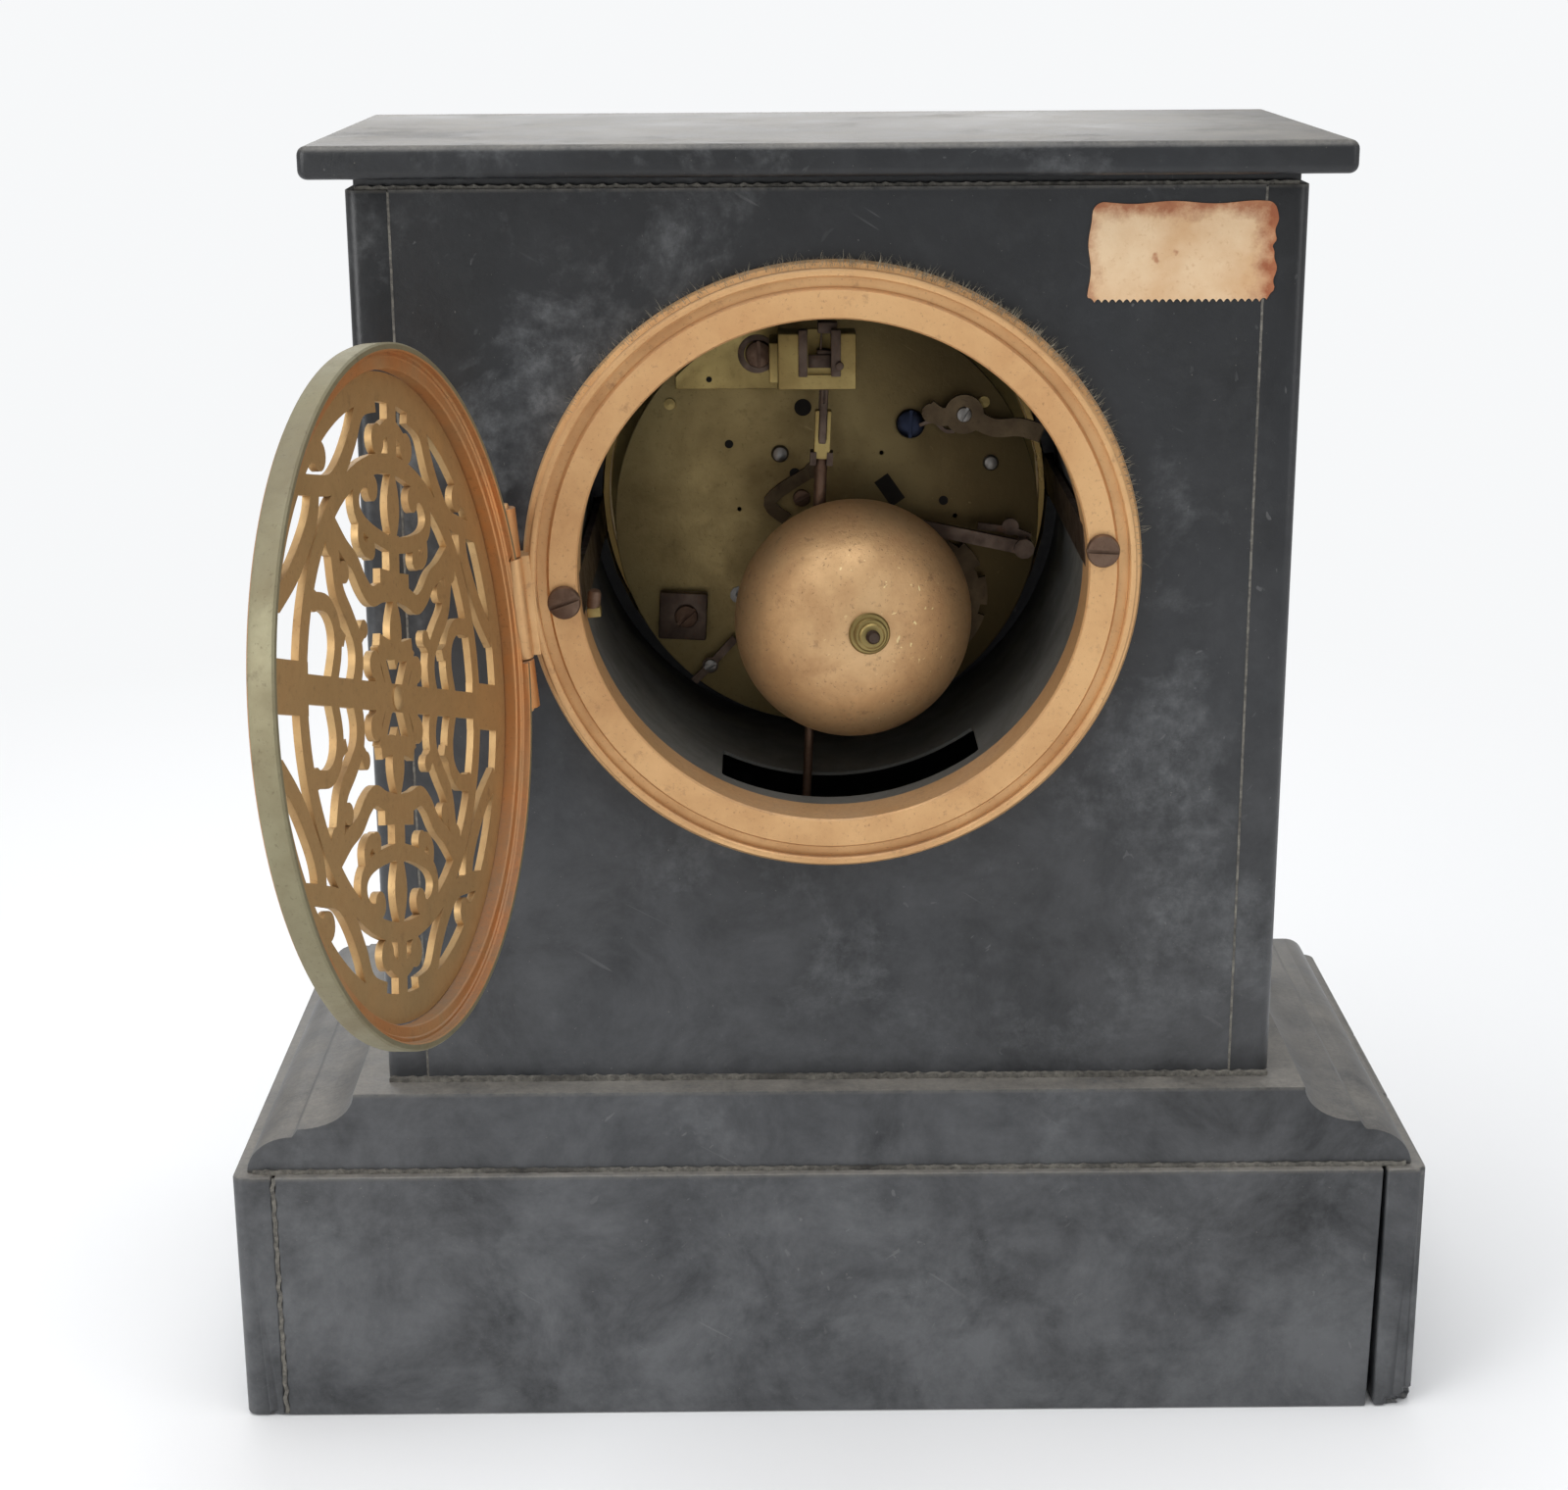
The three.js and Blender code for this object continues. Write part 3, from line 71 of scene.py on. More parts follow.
frontPlace = Matrix.Translation((bore["x"] * mm, 0, bore["z"] * mm))
rearPlace = frontPlace @ Matrix.Rotation(bore["tilt"], 4, "Y")
hingeSpot = Vector((hinge["reach"] * mm, hinge["y"] * mm, 0))
doorPlace = (
    rearPlace @ Matrix.Translation(hingeSpot)
    @ Matrix.Rotation(-hinge["open"], 4, "Z") @ Matrix.Translation(-hingeSpot)
)
swingPlace = (
    frontPlace @ Matrix.Translation((pivot["x"] * mm, 0, pivot["z"] * mm))
    @ Matrix.Rotation(-pivot["lean"], 4, "Y")
)
bellPlace = (
    frontPlace @ Matrix.Translation((bellSet["x"] * mm, bellSet["y"] * mm, bellSet["z"] * mm))
    @ Matrix.Rotation(bellSet["turn"], 4, "Z") @ Matrix.Rotation(bellSet["lift"], 4, "X")
)
print("frame loaded")


# The camera stands behind the clock, a little above it.
def placeCamera():
    spot = Vector((13.6, 689.2, 357.9)) * mm
    yaw, pitch, roll = (math.radians(v) for v in (0.267, -16.419, -0.344))
    ahead = Vector((-math.sin(yaw) * math.cos(pitch), -math.cos(yaw) * math.cos(pitch), math.sin(pitch)))
    level = ahead.cross(Vector((0, 0, 1))).normalized()
    rise = level.cross(ahead)
    side = level * math.cos(roll) + rise * math.sin(roll)
    top = rise * math.cos(roll) - level * math.sin(roll)
    data = bpy.data.cameras.new("backView")
    data.sensor_width = 36
    data.lens = 62.19
    data.clip_start = 0.01
    camera = bpy.data.objects.new("backView", data)
    turn = Matrix((side, top, -ahead)).transposed().to_4x4()
    camera.matrix_world = Matrix.Translation(spot) @ turn
    bpy.context.collection.objects.link(camera)
    bpy.context.scene.camera = camera


def addLamp(name, spot, aim, size, power):
    data = bpy.data.lights.new(name, "AREA")
    data.shape = "RECTANGLE"
    data.size, data.size_y = size
    data.energy = power
    lamp = bpy.data.objects.new(name, data)
    direction = Vector(aim) - Vector(spot)
    lamp.matrix_world = Matrix.Translation(spot) @ direction.to_track_quat("-Z", "Y").to_matrix().to_4x4()
    bpy.context.collection.objects.link(lamp)


placeCamera()
addLamp("overheadSoftbox", (0.1, 0.25, 1.5), (0, 0, 0.15), (1.5, 1.2), 15)
addLamp("leftSoftbox", (1.2, 1.1, 0.75), (0, 0, 0.2), (0.8, 1.1), 12)
addLamp("rightSoftbox", (-1.5, 0.9, 0.7), (0, 0, 0.2), (0.8, 1.1), 4)
addLamp("dialSideSoftbox", (0.2, -1.6, 0.9), (0, 0, 0.2), (1.2, 1.0), 8)
scene = bpy.context.scene
scene.view_settings.view_transform = "Standard"
world = bpy.data.worlds.new("studio")
scene.world = world
world.use_nodes = True


def addNode(tree, kind, feeds=None, **settings):
    made = tree.nodes.new(kind)
    for key, value in settings.items():
        setattr(made, key, value)
    for key, value in (feeds or {}).items():
        if isinstance(value, bpy.types.NodeSocket):
            tree.links.new(value, made.inputs[key])
        else:
            made.inputs[key].default_value = value
    return made


def maths(tree, operation, first, second=0.0, third=0.0, clamp=False):
    feeds = {0: first, 1: second}
    if operation == "MULTIPLY_ADD":
        feeds[2] = third
    return addNode(tree, "ShaderNodeMath", feeds, operation=operation, use_clamp=clamp).outputs[0]


def ramp(tree, value, low, high, fromLow=0.0, fromHigh=1.0):
    feeds = {"Value": value, "From Min": low, "From Max": high, "To Min": fromLow, "To Max": fromHigh}
    return addNode(tree, "ShaderNodeMapRange", feeds, clamp=True).outputs["Result"]


def blendColor(tree, factor, first, second):
    mixed = addNode(tree, "ShaderNodeMix", data_type="RGBA")
    for key, value in ((0, factor), (6, first), (7, second)):
        if isinstance(value, bpy.types.NodeSocket):
            tree.links.new(value, mixed.inputs[key])
        else:
            mixed.inputs[key].default_value = value if key == 0 else (*value, 1)[:4]
    return mixed.outputs[2]


def noise(tree, place, scale, detail=4.0, roughness=0.55, distortion=0.0):
    feeds = {
        "Vector": place, "Scale": scale, "Detail": detail, "Roughness": roughness, "Distortion": distortion,
    }
    return addNode(tree, "ShaderNodeTexNoise", feeds).outputs["Fac"]


def objectPlace(tree, turn=(0, 0, 0), scale=(1, 1, 1)):
    place = addNode(tree, "ShaderNodeTexCoord").outputs["Object"]
    if any(turn):
        place = addNode(tree, "ShaderNodeMapping", {"Vector": place, "Rotation": turn}).outputs["Vector"]
    return addNode(tree, "ShaderNodeMapping", {"Vector": place, "Scale": scale}).outputs["Vector"]


def newGroup(name, inputs, outputs):
    group = bpy.data.node_groups.new(name, "ShaderNodeTree")
    for label, kind, value in inputs:
        socket = group.interface.new_socket(label, in_out="INPUT", socket_type=kind)
        socket.default_value = value
    for label, kind in outputs:
        group.interface.new_socket(label, in_out="OUTPUT", socket_type=kind)
    start = group.nodes.new("NodeGroupInput")
    end = group.nodes.new("NodeGroupOutput")
    return group, start.outputs, end.inputs


def useGroup(tree, group, **values):
    made = tree.nodes.new("ShaderNodeGroup")
    made.node_tree = group
    for key, value in values.items():
        label = key.replace("_", " ")
        if isinstance(value, bpy.types.NodeSocket):
            tree.links.new(value, made.inputs[label])
        else:
            made.inputs[label].default_value = (*value, 1)[:4] if isinstance(value, tuple) else value
    return made.outputs


def newMaterial(name, **shader):
    material = bpy.data.materials.new(name)
    material.use_nodes = True
    tree = material.node_tree
    skin = tree.nodes["Principled BSDF"]
    for key, value in shader.items():
        skin.inputs[key.replace("_", " ")].default_value = value
    return material, tree, skin


def addBump(tree, skin, height, strength, distance):
    feeds = {"Height": height, "Strength": strength, "Distance": distance}
    tree.links.new(addNode(tree, "ShaderNodeBump", feeds).outputs["Normal"], skin.inputs["Normal"])


floatSocket, colorSocket = "NodeSocketFloat", "NodeSocketColor"


# Settled dust on faces that look up, thicker where the noise says.
def buildDustGroup():
    inputs = [("Amount", floatSocket, 0.5), ("Start", floatSocket, 0.35)]
    group, given, result = newGroup("settledDust", inputs, [("Mask", floatSocket)])
    normal = addNode(group, "ShaderNodeNewGeometry").outputs["Normal"]
    upward = addNode(group, "ShaderNodeSeparateXYZ", {0: normal}).outputs["Z"]
    facing = ramp(group, upward, given["Start"], 1.0)
    place = objectPlace(group)
    cloud = noise(group, place, 55, 6, 0.65)
    grit = noise(group, place, 900, 3, 0.7)
    mixed = maths(group, "MULTIPLY_ADD", grit, 0.5, maths(group, "MULTIPLY", cloud, 0.9))
    mask = maths(group, "MULTIPLY", facing, ramp(group, mixed, 0.40, 0.98))
    group.links.new(maths(group, "MULTIPLY", mask, given["Amount"], clamp=True), result["Mask"])
    return group


# Fine scratches at three slants, as a mask.
def buildScratchGroup():
    inputs = [("Density", floatSocket, 0.5), ("Fineness", floatSocket, 1.0)]
    group, given, result = newGroup("fineScratches", inputs, [("Mask", floatSocket)])
    total = None
    for turn, offset in (((0.1, 0.55, 0.1), 0), ((0.2, -0.8, 0.3), 3), ((-0.2, 1.35, 0.4), 7)):
        place = objectPlace(group, turn, (22, 420, 420))
        wide = addNode(group, "ShaderNodeVectorMath", {0: place}, operation="SCALE")
        group.links.new(given["Fineness"], wide.inputs["Scale"])
        line = noise(group, wide.outputs[0], 1.0, 2, 0.5, 0.4)
        thin = ramp(group, line, 0.715, 0.735)
        patch = ramp(group, noise(group, objectPlace(group), 14 + offset, 3), 0.52, 0.62)
        stroke = maths(group, "MULTIPLY", thin, patch)
        total = stroke if total is None else maths(group, "MAXIMUM", total, stroke)
    group.links.new(maths(group, "MULTIPLY", total, given["Density"], clamp=True), result["Mask"])
    return group


# Old metal: two tones in clouds, dark specks and a film of grime.
def buildPatinaGroup():
    inputs = [
        ("Bright", colorSocket, (0.5, 0.4, 0.2, 1)), ("Dull", colorSocket, (0.3, 0.2, 0.1, 1)),
        ("Grime", colorSocket, (0.08, 0.05, 0.03, 1)), ("Clouding", floatSocket, 0.5),
        ("Speckle", floatSocket, 0.4), ("Cloud Scale", floatSocket, 60.0),
    ]
    outputs = [("Color", colorSocket), ("Wear", floatSocket), ("Height", floatSocket)]
    group, given, result = newGroup("oldMetal", inputs, outputs)
    place = objectPlace(group)
    cloud = noise(group, place, given["Cloud Scale"], 7, 0.62, 0.3)
    clouded = maths(group, "MULTIPLY", ramp(group, cloud, 0.36, 0.66), given["Clouding"])
    base = blendColor(group, clouded, given["Bright"], given["Dull"])
    speck = ramp(group, noise(group, place, 1100, 3, 0.7), 0.6, 0.72)
    spots = ramp(group, noise(group, place, 240, 5, 0.7), 0.6, 0.74)
    dirt = maths(group, "MULTIPLY", maths(group, "MAXIMUM", speck, spots), given["Speckle"])
    group.links.new(blendColor(group, dirt, base, given["Grime"]), result["Color"])
    group.links.new(maths(group, "MAXIMUM", clouded, dirt), result["Wear"])
    group.links.new(maths(group, "SUBTRACT", noise(group, place, 700, 4, 0.6), dirt), result["Height"])
    return group


dustGroup = buildDustGroup()
scratchGroup = buildScratchGroup()
patinaGroup = buildPatinaGroup()


# A narrow band round one coordinate, ragged at its edges.
def jointBand(tree, coordinate, centre, half, ragged):
    away = maths(tree, "ABSOLUTE", maths(tree, "SUBTRACT", coordinate, centre * mm))
    rough = maths(tree, "MULTIPLY_ADD", ragged, half * mm, away)
    return ramp(tree, rough, half * mm * 1.7, half * mm * 0.9)


def slateMaterial():
    look = dict(
        black=(0.0040, 0.0046, 0.0056), blue=(0.0105, 0.0125, 0.0155), bloom=(0.135, 0.141, 0.147),
        haze=(0.092, 0.095, 0.101), dust=(0.24, 0.225, 0.20), joint=(0.12, 0.112, 0.098),
        scratch=(0.2, 0.2, 0.2),
    )
    material, tree, skin = newMaterial("blackSlate", Roughness=0.45)
    place = objectPlace(tree)
    parts = addNode(tree, "ShaderNodeSeparateXYZ", {0: place}).outputs
    wide = noise(tree, place, 9, 6, 0.62, 0.4)
    base = blendColor(tree, ramp(tree, wide, 0.38, 0.64), look["black"], look["blue"])
    # A dull grey haze, thickest at the foot.
    haze = maths(tree, "POWER", ramp(tree, parts["Z"], 0.30, 0.02), 2.0)
    haze = maths(tree, "MULTIPLY_ADD", haze, 0.68, 0.05)
    uneven = maths(tree, "MULTIPLY_ADD", noise(tree, place, 32, 9, 0.72, 0.3), 4.2, -1.25)
    base = blendColor(tree, maths(tree, "MULTIPLY", haze, uneven, clamp=True), base, look["haze"])
    low = ramp(tree, parts["Z"], 0.085, 0.02)
    cloud = noise(tree, place, 26, 9, 0.68, 0.25)
    bloomStart = maths(tree, "MULTIPLY_ADD", low, -0.10, 0.54)
    bloomMask = addNode(
        tree, "ShaderNodeMapRange", {"Value": cloud, "From Min": bloomStart, "From Max": 0.70}, clamp=True,
    ).outputs["Result"]
    mottle = noise(tree, place, 240, 6, 0.75)
    mottled = maths(tree, "MULTIPLY", bloomMask, ramp(tree, mottle, 0.3, 0.66))
    base = blendColor(tree, maths(tree, "MULTIPLY", mottled, 0.72), base, look["bloom"])
    film = maths(tree, "MULTIPLY", ramp(tree, noise(tree, place, 120, 8, 0.7), 0.5, 0.85), 0.1)
    base = blendColor(tree, film, base, look["bloom"])
    specks = ramp(tree, noise(tree, place, 1500, 2, 0.5), 0.74, 0.78)
    base = blendColor(tree, maths(tree, "MULTIPLY", specks, 0.35), base, look["dust"])
    scratches = useGroup(tree, scratchGroup, Density=0.25, Fineness=1.0)["Mask"]
    base = blendColor(tree, scratches, base, look["scratch"])
    ragged = noise(tree, place, 420, 5, 0.7)
    level = None
    mouldTop = case["plinthHeight"] + case["mouldHeight"]
    for centre, half in ((case["plinthHeight"], 1.0), (mouldTop, 1.0), (case["bodyTop"], 0.8)):
        band = jointBand(tree, parts["Z"], centre, half, ragged)
        level = band if level is None else maths(tree, "MAXIMUM", level, band)
    leftJoint = jointBand(tree, parts["X"], 100, 0.26, ragged)
    rightJoint = jointBand(tree, parts["X"], -100, 0.3, ragged)
    upright = maths(tree, "MAXIMUM", leftJoint, rightJoint)
    for axis, start, end in (("Z", 0.0868, 0.0872), ("Z", 0.3056, 0.3052), ("Y", 0.0628, 0.063)):
        upright = maths(tree, "MULTIPLY", upright, ramp(tree, parts[axis], start, end))
    bands = maths(tree, "MAXIMUM", level, maths(tree, "MULTIPLY", upright, 0.6))
    soft = maths(tree, "MULTIPLY", maths(tree, "MULTIPLY", bands, ramp(tree, ragged, 0.3, 0.6)), 0.6)
    base = blendColor(tree, soft, base, look["joint"])
    dust = useGroup(tree, dustGroup, Amount=0.9, Start=0.3)["Mask"]
    base = blendColor(tree, dust, base, look["dust"])
    tree.links.new(base, skin.inputs["Base Color"])
    rough = maths(tree, "MULTIPLY_ADD", mottled, 0.35, 0.33)
    rough = maths(tree, "MULTIPLY_ADD", ramp(tree, wide, 0.35, 0.7), 0.12, rough)
    tree.links.new(maths(tree, "MULTIPLY_ADD", dust, 0.3, rough, clamp=True), skin.inputs["Roughness"])
    dents = maths(tree, "MULTIPLY", scratches, 0.6)
    grain = maths(tree, "SUBTRACT", noise(tree, place, 380, 6, 0.65), dents)
    addBump(tree, skin, grain, 0.22, 0.0006)
    return material


def metalMaterial(name, bright, dull, grime, rough=0.42, metallic=0.85, clouding=0.6, speckle=0.4,
                  cloudScale=60.0, bump=0.18, dustAmount=0.0, scratch=0.0, paintedSideShade=None):
    material, tree, skin = newMaterial(name, Metallic=metallic)
    old = useGroup(
        tree, patinaGroup, Bright=bright, Dull=dull, Grime=grime, Clouding=clouding, Speckle=speckle,
        Cloud_Scale=cloudScale,
    )
    color = old["Color"]
    # Painted shade: along X the colour turns to half the dull tone on the −X side, standing in for the side
    # out of the light.
    if paintedSideShade:
        across = addNode(tree, "ShaderNodeSeparateXYZ", {0: objectPlace(tree)}).outputs["X"]
        color = blendColor(tree, ramp(tree, across, *paintedSideShade), tuple(c * 0.5 for c in dull), color)
    roughness = maths(tree, "MULTIPLY_ADD", old["Wear"], 0.3, rough, clamp=True)
    if scratch:
        marks = useGroup(tree, scratchGroup, Density=scratch, Fineness=1.6)["Mask"]
        color = blendColor(tree, marks, color, tuple(min(1, c * 1.9 + 0.08) for c in bright))
    if dustAmount:
        dust = useGroup(tree, dustGroup, Amount=dustAmount, Start=0.2)["Mask"]
        color = blendColor(tree, dust, color, (0.2, 0.19, 0.16))
        roughness = maths(tree, "MULTIPLY_ADD", dust, 0.5, roughness, clamp=True)
        metalness = maths(tree, "MULTIPLY", maths(tree, "SUBTRACT", 1.0, dust), metallic)
        tree.links.new(metalness, skin.inputs["Metallic"])
    tree.links.new(color, skin.inputs["Base Color"])
    tree.links.new(roughness, skin.inputs["Roughness"])
    addBump(tree, skin, old["Height"], bump, 0.0003)
    return material


slate = slateMaterial()
ringBrass = metalMaterial(
    "ringBrass", (0.70, 0.43, 0.205), (0.52, 0.29, 0.13), (0.17, 0.075, 0.04), rough=0.42, metallic=0.7,
    clouding=0.6, speckle=0.4, cloudScale=48.0, dustAmount=0.45,
)
# The plate's colour darkens towards its −X side: painted shade for the side away from the light.
plateBrass = metalMaterial(
    "plateBrass", (0.34, 0.265, 0.12), (0.20, 0.145, 0.062), (0.05, 0.03, 0.015), rough=0.38, metallic=0.85,
    clouding=0.8, speckle=0.3, cloudScale=38.0, scratch=0.12, paintedSideShade=(-0.03, 0.02),
)
cockBrass = metalMaterial(
    "cockBrass", (0.33, 0.255, 0.10), (0.2, 0.14, 0.055), (0.07, 0.04, 0.018), rough=0.36, metallic=0.9,
    clouding=0.6, speckle=0.3, scratch=0.1,
)
bellBrass = metalMaterial(
    "bellBrass", (0.68, 0.45, 0.235), (0.50, 0.305, 0.15), (0.13, 0.06, 0.035), rough=0.46, metallic=0.75,
    clouding=0.75, speckle=0.5, cloudScale=70.0, scratch=0.6, bump=0.4,
)
linerMetal = metalMaterial(
    "linerMetal", (0.22, 0.225, 0.215), (0.085, 0.085, 0.08), (0.02, 0.017, 0.013), rough=0.38,
    metallic=0.45, clouding=0.7, speckle=0.35, cloudScale=45.0, dustAmount=0.25, scratch=0.2,
)
darkSteel = metalMaterial(
    "darkSteel", (0.10, 0.072, 0.055), (0.045, 0.03, 0.024), (0.12, 0.05, 0.025), rough=0.36,
    metallic=0.85, clouding=0.7, speckle=0.45, cloudScale=180.0,
)
rustSteel = metalMaterial(
    "rustSteel", (0.15, 0.095, 0.065), (0.085, 0.045, 0.028), (0.05, 0.02, 0.01), rough=0.42,
    metallic=0.7, clouding=0.8, speckle=0.5, cloudScale=220.0,
)
plainSteel = metalMaterial(
    "plainSteel", (0.22, 0.215, 0.205), (0.13, 0.12, 0.11), (0.08, 0.05, 0.03), rough=0.3, metallic=0.95,
    clouding=0.5, speckle=0.2, cloudScale=150.0,
)
bluedSteel = metalMaterial(
    "bluedSteel", (0.018, 0.023, 0.042), (0.012, 0.014, 0.022), (0.03, 0.015, 0.01), rough=0.25,
    metallic=0.95, clouding=0.4, speckle=0.15, cloudScale=150.0, bump=0.05,
)
bezelBrass = metalMaterial(
    "bezelBrass", (0.58, 0.40, 0.15), (0.42, 0.27, 0.09), (0.10, 0.05, 0.02), rough=0.26, metallic=0.95,
    clouding=0.5, speckle=0.15, cloudScale=40.0, bump=0.06,
)
doorBrass = metalMaterial(
    "doorBrass", (0.58, 0.25, 0.085), (0.40, 0.26, 0.13), (0.14, 0.07, 0.035), rough=0.42, metallic=0.75,
    clouding=0.75, speckle=0.45, cloudScale=42.0, dustAmount=0.85,
)
grilleBrass = metalMaterial(
    "grilleBrass", (0.50, 0.33, 0.15), (0.38, 0.22, 0.09), (0.13, 0.065, 0.03), rough=0.42, metallic=0.75,
    clouding=0.7, speckle=0.4, cloudScale=55.0, dustAmount=0.2,
)
leverBronze = metalMaterial(
    "leverBronze", (0.105, 0.075, 0.042), (0.06, 0.04, 0.024), (0.03, 0.018, 0.01), rough=0.4, metallic=0.8,
    clouding=0.7, speckle=0.35, cloudScale=120.0,
)
doorEdgeBrass = metalMaterial(
    "doorEdgeBrass", (0.26, 0.24, 0.15), (0.19, 0.15, 0.085), (0.08, 0.05, 0.03), rough=0.45, metallic=0.65,
    clouding=0.7, speckle=0.4, cloudScale=50.0, dustAmount=0.5,
)
# Painted shade: a near-black finish for thin sheets laid on the plate where the holes, the slot and the
# dowel hole are, standing in for the shade inside them.
holeShadeMaterial, blackTree, blackSkin = newMaterial("paintedHoleShade", Roughness=0.9)
holeShadeTone = noise(blackTree, objectPlace(blackTree), 900, 3, 0.6)
holeShadeTone = blendColor(blackTree, holeShadeTone, (0.004, 0.0035, 0.003), (0.012, 0.009, 0.006))
blackTree.links.new(holeShadeTone, blackSkin.inputs["Base Color"])
print("materials built")


# Shapes are drawn in millimetres; place carries them into the clock and scale into metres.
def addPiece(name, form, body, material, place=None, nodes=(), flat=False):
    form.transform((place or Matrix()) @ Matrix.Scale(mm, 4))
    mesh = bpy.data.meshes.new(name)
    form.to_mesh(mesh)
    form.free()
    made = bpy.data.objects.new(name, mesh)
    bpy.context.collection.objects.link(made)
    for finish in material if isinstance(material, (list, tuple)) else (material,):
        mesh.materials.append(finish)
    if not flat:
        mesh.shade_smooth()
        mesh.set_sharp_from_angle(angle=math.radians(32))
    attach(made, body)
    if nodes:
        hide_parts(*nodes)
    return made


# A frame piece whose shape is right keeps it and gets its finish here.
def dress(name, material):
    for place in frame["nodes"][name].material_slots:
        place.material = material


def tidyForm(form, gap=1e-4):
    bmesh.ops.remove_doubles(form, verts=form.verts, dist=gap)
    bmesh.ops.recalc_face_normals(form, faces=form.faces)
    return form


# Bevels the edges that turn sharply.
def soften(form, width, segments=2):
    sharp = math.radians(28)
    edges = [edge for edge in form.edges if edge.is_manifold and edge.calc_face_angle(0) > sharp]
    bmesh.ops.bevel(
        form, geom=edges, offset=width, segments=segments, profile=0.5, affect="EDGES", material=-1,
        clamp_overlap=True,
    )
    return form


def blockShape(low, high, width=0.3, segments=2):
    form = bmesh.new()
    bmesh.ops.create_cube(form, size=1)
    low, high = Vector(low), Vector(high)
    bmesh.ops.scale(form, vec=high - low, verts=form.verts)
    bmesh.ops.translate(form, vec=(low + high) / 2, verts=form.verts)
    return soften(form, width, segments) if width else form


# An outline of (radius, y) spun round the Y axis.
def turnShape(outline, steps=128, closed=True, width=0.0):
    form = bmesh.new()
    corners = [form.verts.new((radius, y, 0)) for radius, y in outline]
    edges = [form.edges.new(pair) for pair in zip(corners, corners[1:])]
    if closed:
        edges.append(form.edges.new((corners[-1], corners[0])))
    bmesh.ops.spin(
        form, geom=corners + edges, cent=(0, 0, 0), axis=(0, 1, 0), angle=math.tau, steps=steps,
        use_merge=True,
    )
    tidyForm(form)
    return soften(form, width) if width else form


def discShape(radius, low, high, steps=48, width=0.2):
    return turnShape([(0, low), (radius, low), (radius, high), (0, high)], steps, closed=False, width=width)


def moved(form, place):
    form.transform(place)
    return form


def slid(form, x=0, y=0, z=0):
    return moved(form, Matrix.Translation((x, y, z)))


# Stands a turned shape on end, so that its axis runs along Z.
def upended(form):
    form.transform(Matrix.Rotation(math.pi / 2, 4, "X"))
    bmesh.ops.recalc_face_normals(form, faces=form.faces)
    return form


# Puts several shapes into one, keeping each as its own shell.
def gathered(*forms):
    whole = bmesh.new()
    for form in forms:
        carrier = bpy.data.meshes.new("carrier")
        form.to_mesh(carrier)
        form.free()
        whole.from_mesh(carrier)
        bpy.data.meshes.remove(carrier)
    return whole


def bareObject(form):
    carrier = bpy.data.meshes.new("carrier")
    form.to_mesh(carrier)
    form.free()
    made = bpy.data.objects.new("carrier", carrier)
    bpy.context.collection.objects.link(made)
    return made


# Joins or cuts shapes and gives back the result as a new shape.
def carved(form, tools, operation="DIFFERENCE"):
    base = bareObject(form)
    helpers = [bareObject(tool) for tool in tools]
    for helper in helpers:
        step = base.modifiers.new("carve", "BOOLEAN")
        step.operation = operation
        step.solver = "MANIFOLD"
        step.object = helper
    bpy.context.view_layer.update()
    shaped = base.evaluated_get(bpy.context.evaluated_depsgraph_get())
    result = bmesh.new()
    result.from_mesh(shaped.to_mesh())
    shaped.to_mesh_clear()
    for spare in [base, *helpers]:
        mesh = spare.data
        bpy.data.objects.remove(spare)
        bpy.data.meshes.remove(mesh)
    return tidyForm(result, 1e-3)


# A flat strip of even width along a smooth line in the XZ plane.
def strokeShape(points, width, low, high, steps=6):
    line = smoothLine(points, steps)
    form = bmesh.new()
    corners = [form.verts.new((x, low, z)) for x, z in line]
    edges = [form.edges.new(pair) for pair in zip(corners, corners[1:])]
    grown = bmesh.ops.extrude_edge_only(form, edges=edges)
    raised = [item for item in grown["geom"] if isinstance(item, bmesh.types.BMVert)]
    bmesh.ops.translate(form, vec=(0, high - low, 0), verts=raised)
    bmesh.ops.recalc_face_normals(form, faces=form.faces)
    form.normal_update()
    shifts = [(vert, vert.normal * width / 2) for vert in form.verts]
    for vert, shift in shifts:
        vert.co += shift
    bmesh.ops.solidify(form, geom=form.faces, thickness=width)
    return tidyForm(form)


def smoothLine(points, steps):
    if len(points) < 3:
        return points
    padded = [points[0], *points, points[-1]]
    line = []
    for before, start, end, after in zip(padded, padded[1:], padded[2:], padded[3:]):
        for i in range(steps):
            t = i / steps
            line.append(tuple(
                0.5 * (
                    2 * b + (c - a) * t + (2 * a - 5 * b + 4 * c - d) * t * t
                    + (3 * b - a - 3 * c + d) * t ** 3
                )
                for a, b, c, d in zip(before, start, end, after)
            ))
    return [*line, points[-1]]


# The slate case: each slab is a copy of the frame's with its edges broken.
def slabCopy(name, width):
    form = bmesh.new()
    form.from_mesh(frame["nodes"][name].data)
    tidyForm(form, 1e-6)
    bmesh.ops.scale(form, vec=(1 / mm,) * 3, verts=form.verts)
    bmesh.ops.dissolve_limit(form, angle_limit=math.radians(1), verts=form.verts, edges=form.edges)
    return soften(form, width)


def addSlate(name, form, *nodes):
    return addPiece(name, form, "case", slate, nodes=nodes)


# Small bites out of a slab's edges, cut with lumpy stones.
def chipped(form, bites):
    tools = []
    for x, y, z, radius, seed in bites:
        stone = bmesh.new()
        bmesh.ops.create_icosphere(stone, subdivisions=4, radius=radius)
        for vert in stone.verts:
            lump = math.sin(seed + vert.co.x * 1.9) * math.cos(seed * 2 + vert.co.z * 2.3)
            lump += 0.5 * math.sin(seed * 3 + vert.co.y * 4.1 + vert.co.z * 3.1)
            vert.co *= 1 + 0.16 * lump
        tools.append(slid(stone, x, y, z))
    return carved(form, tools)


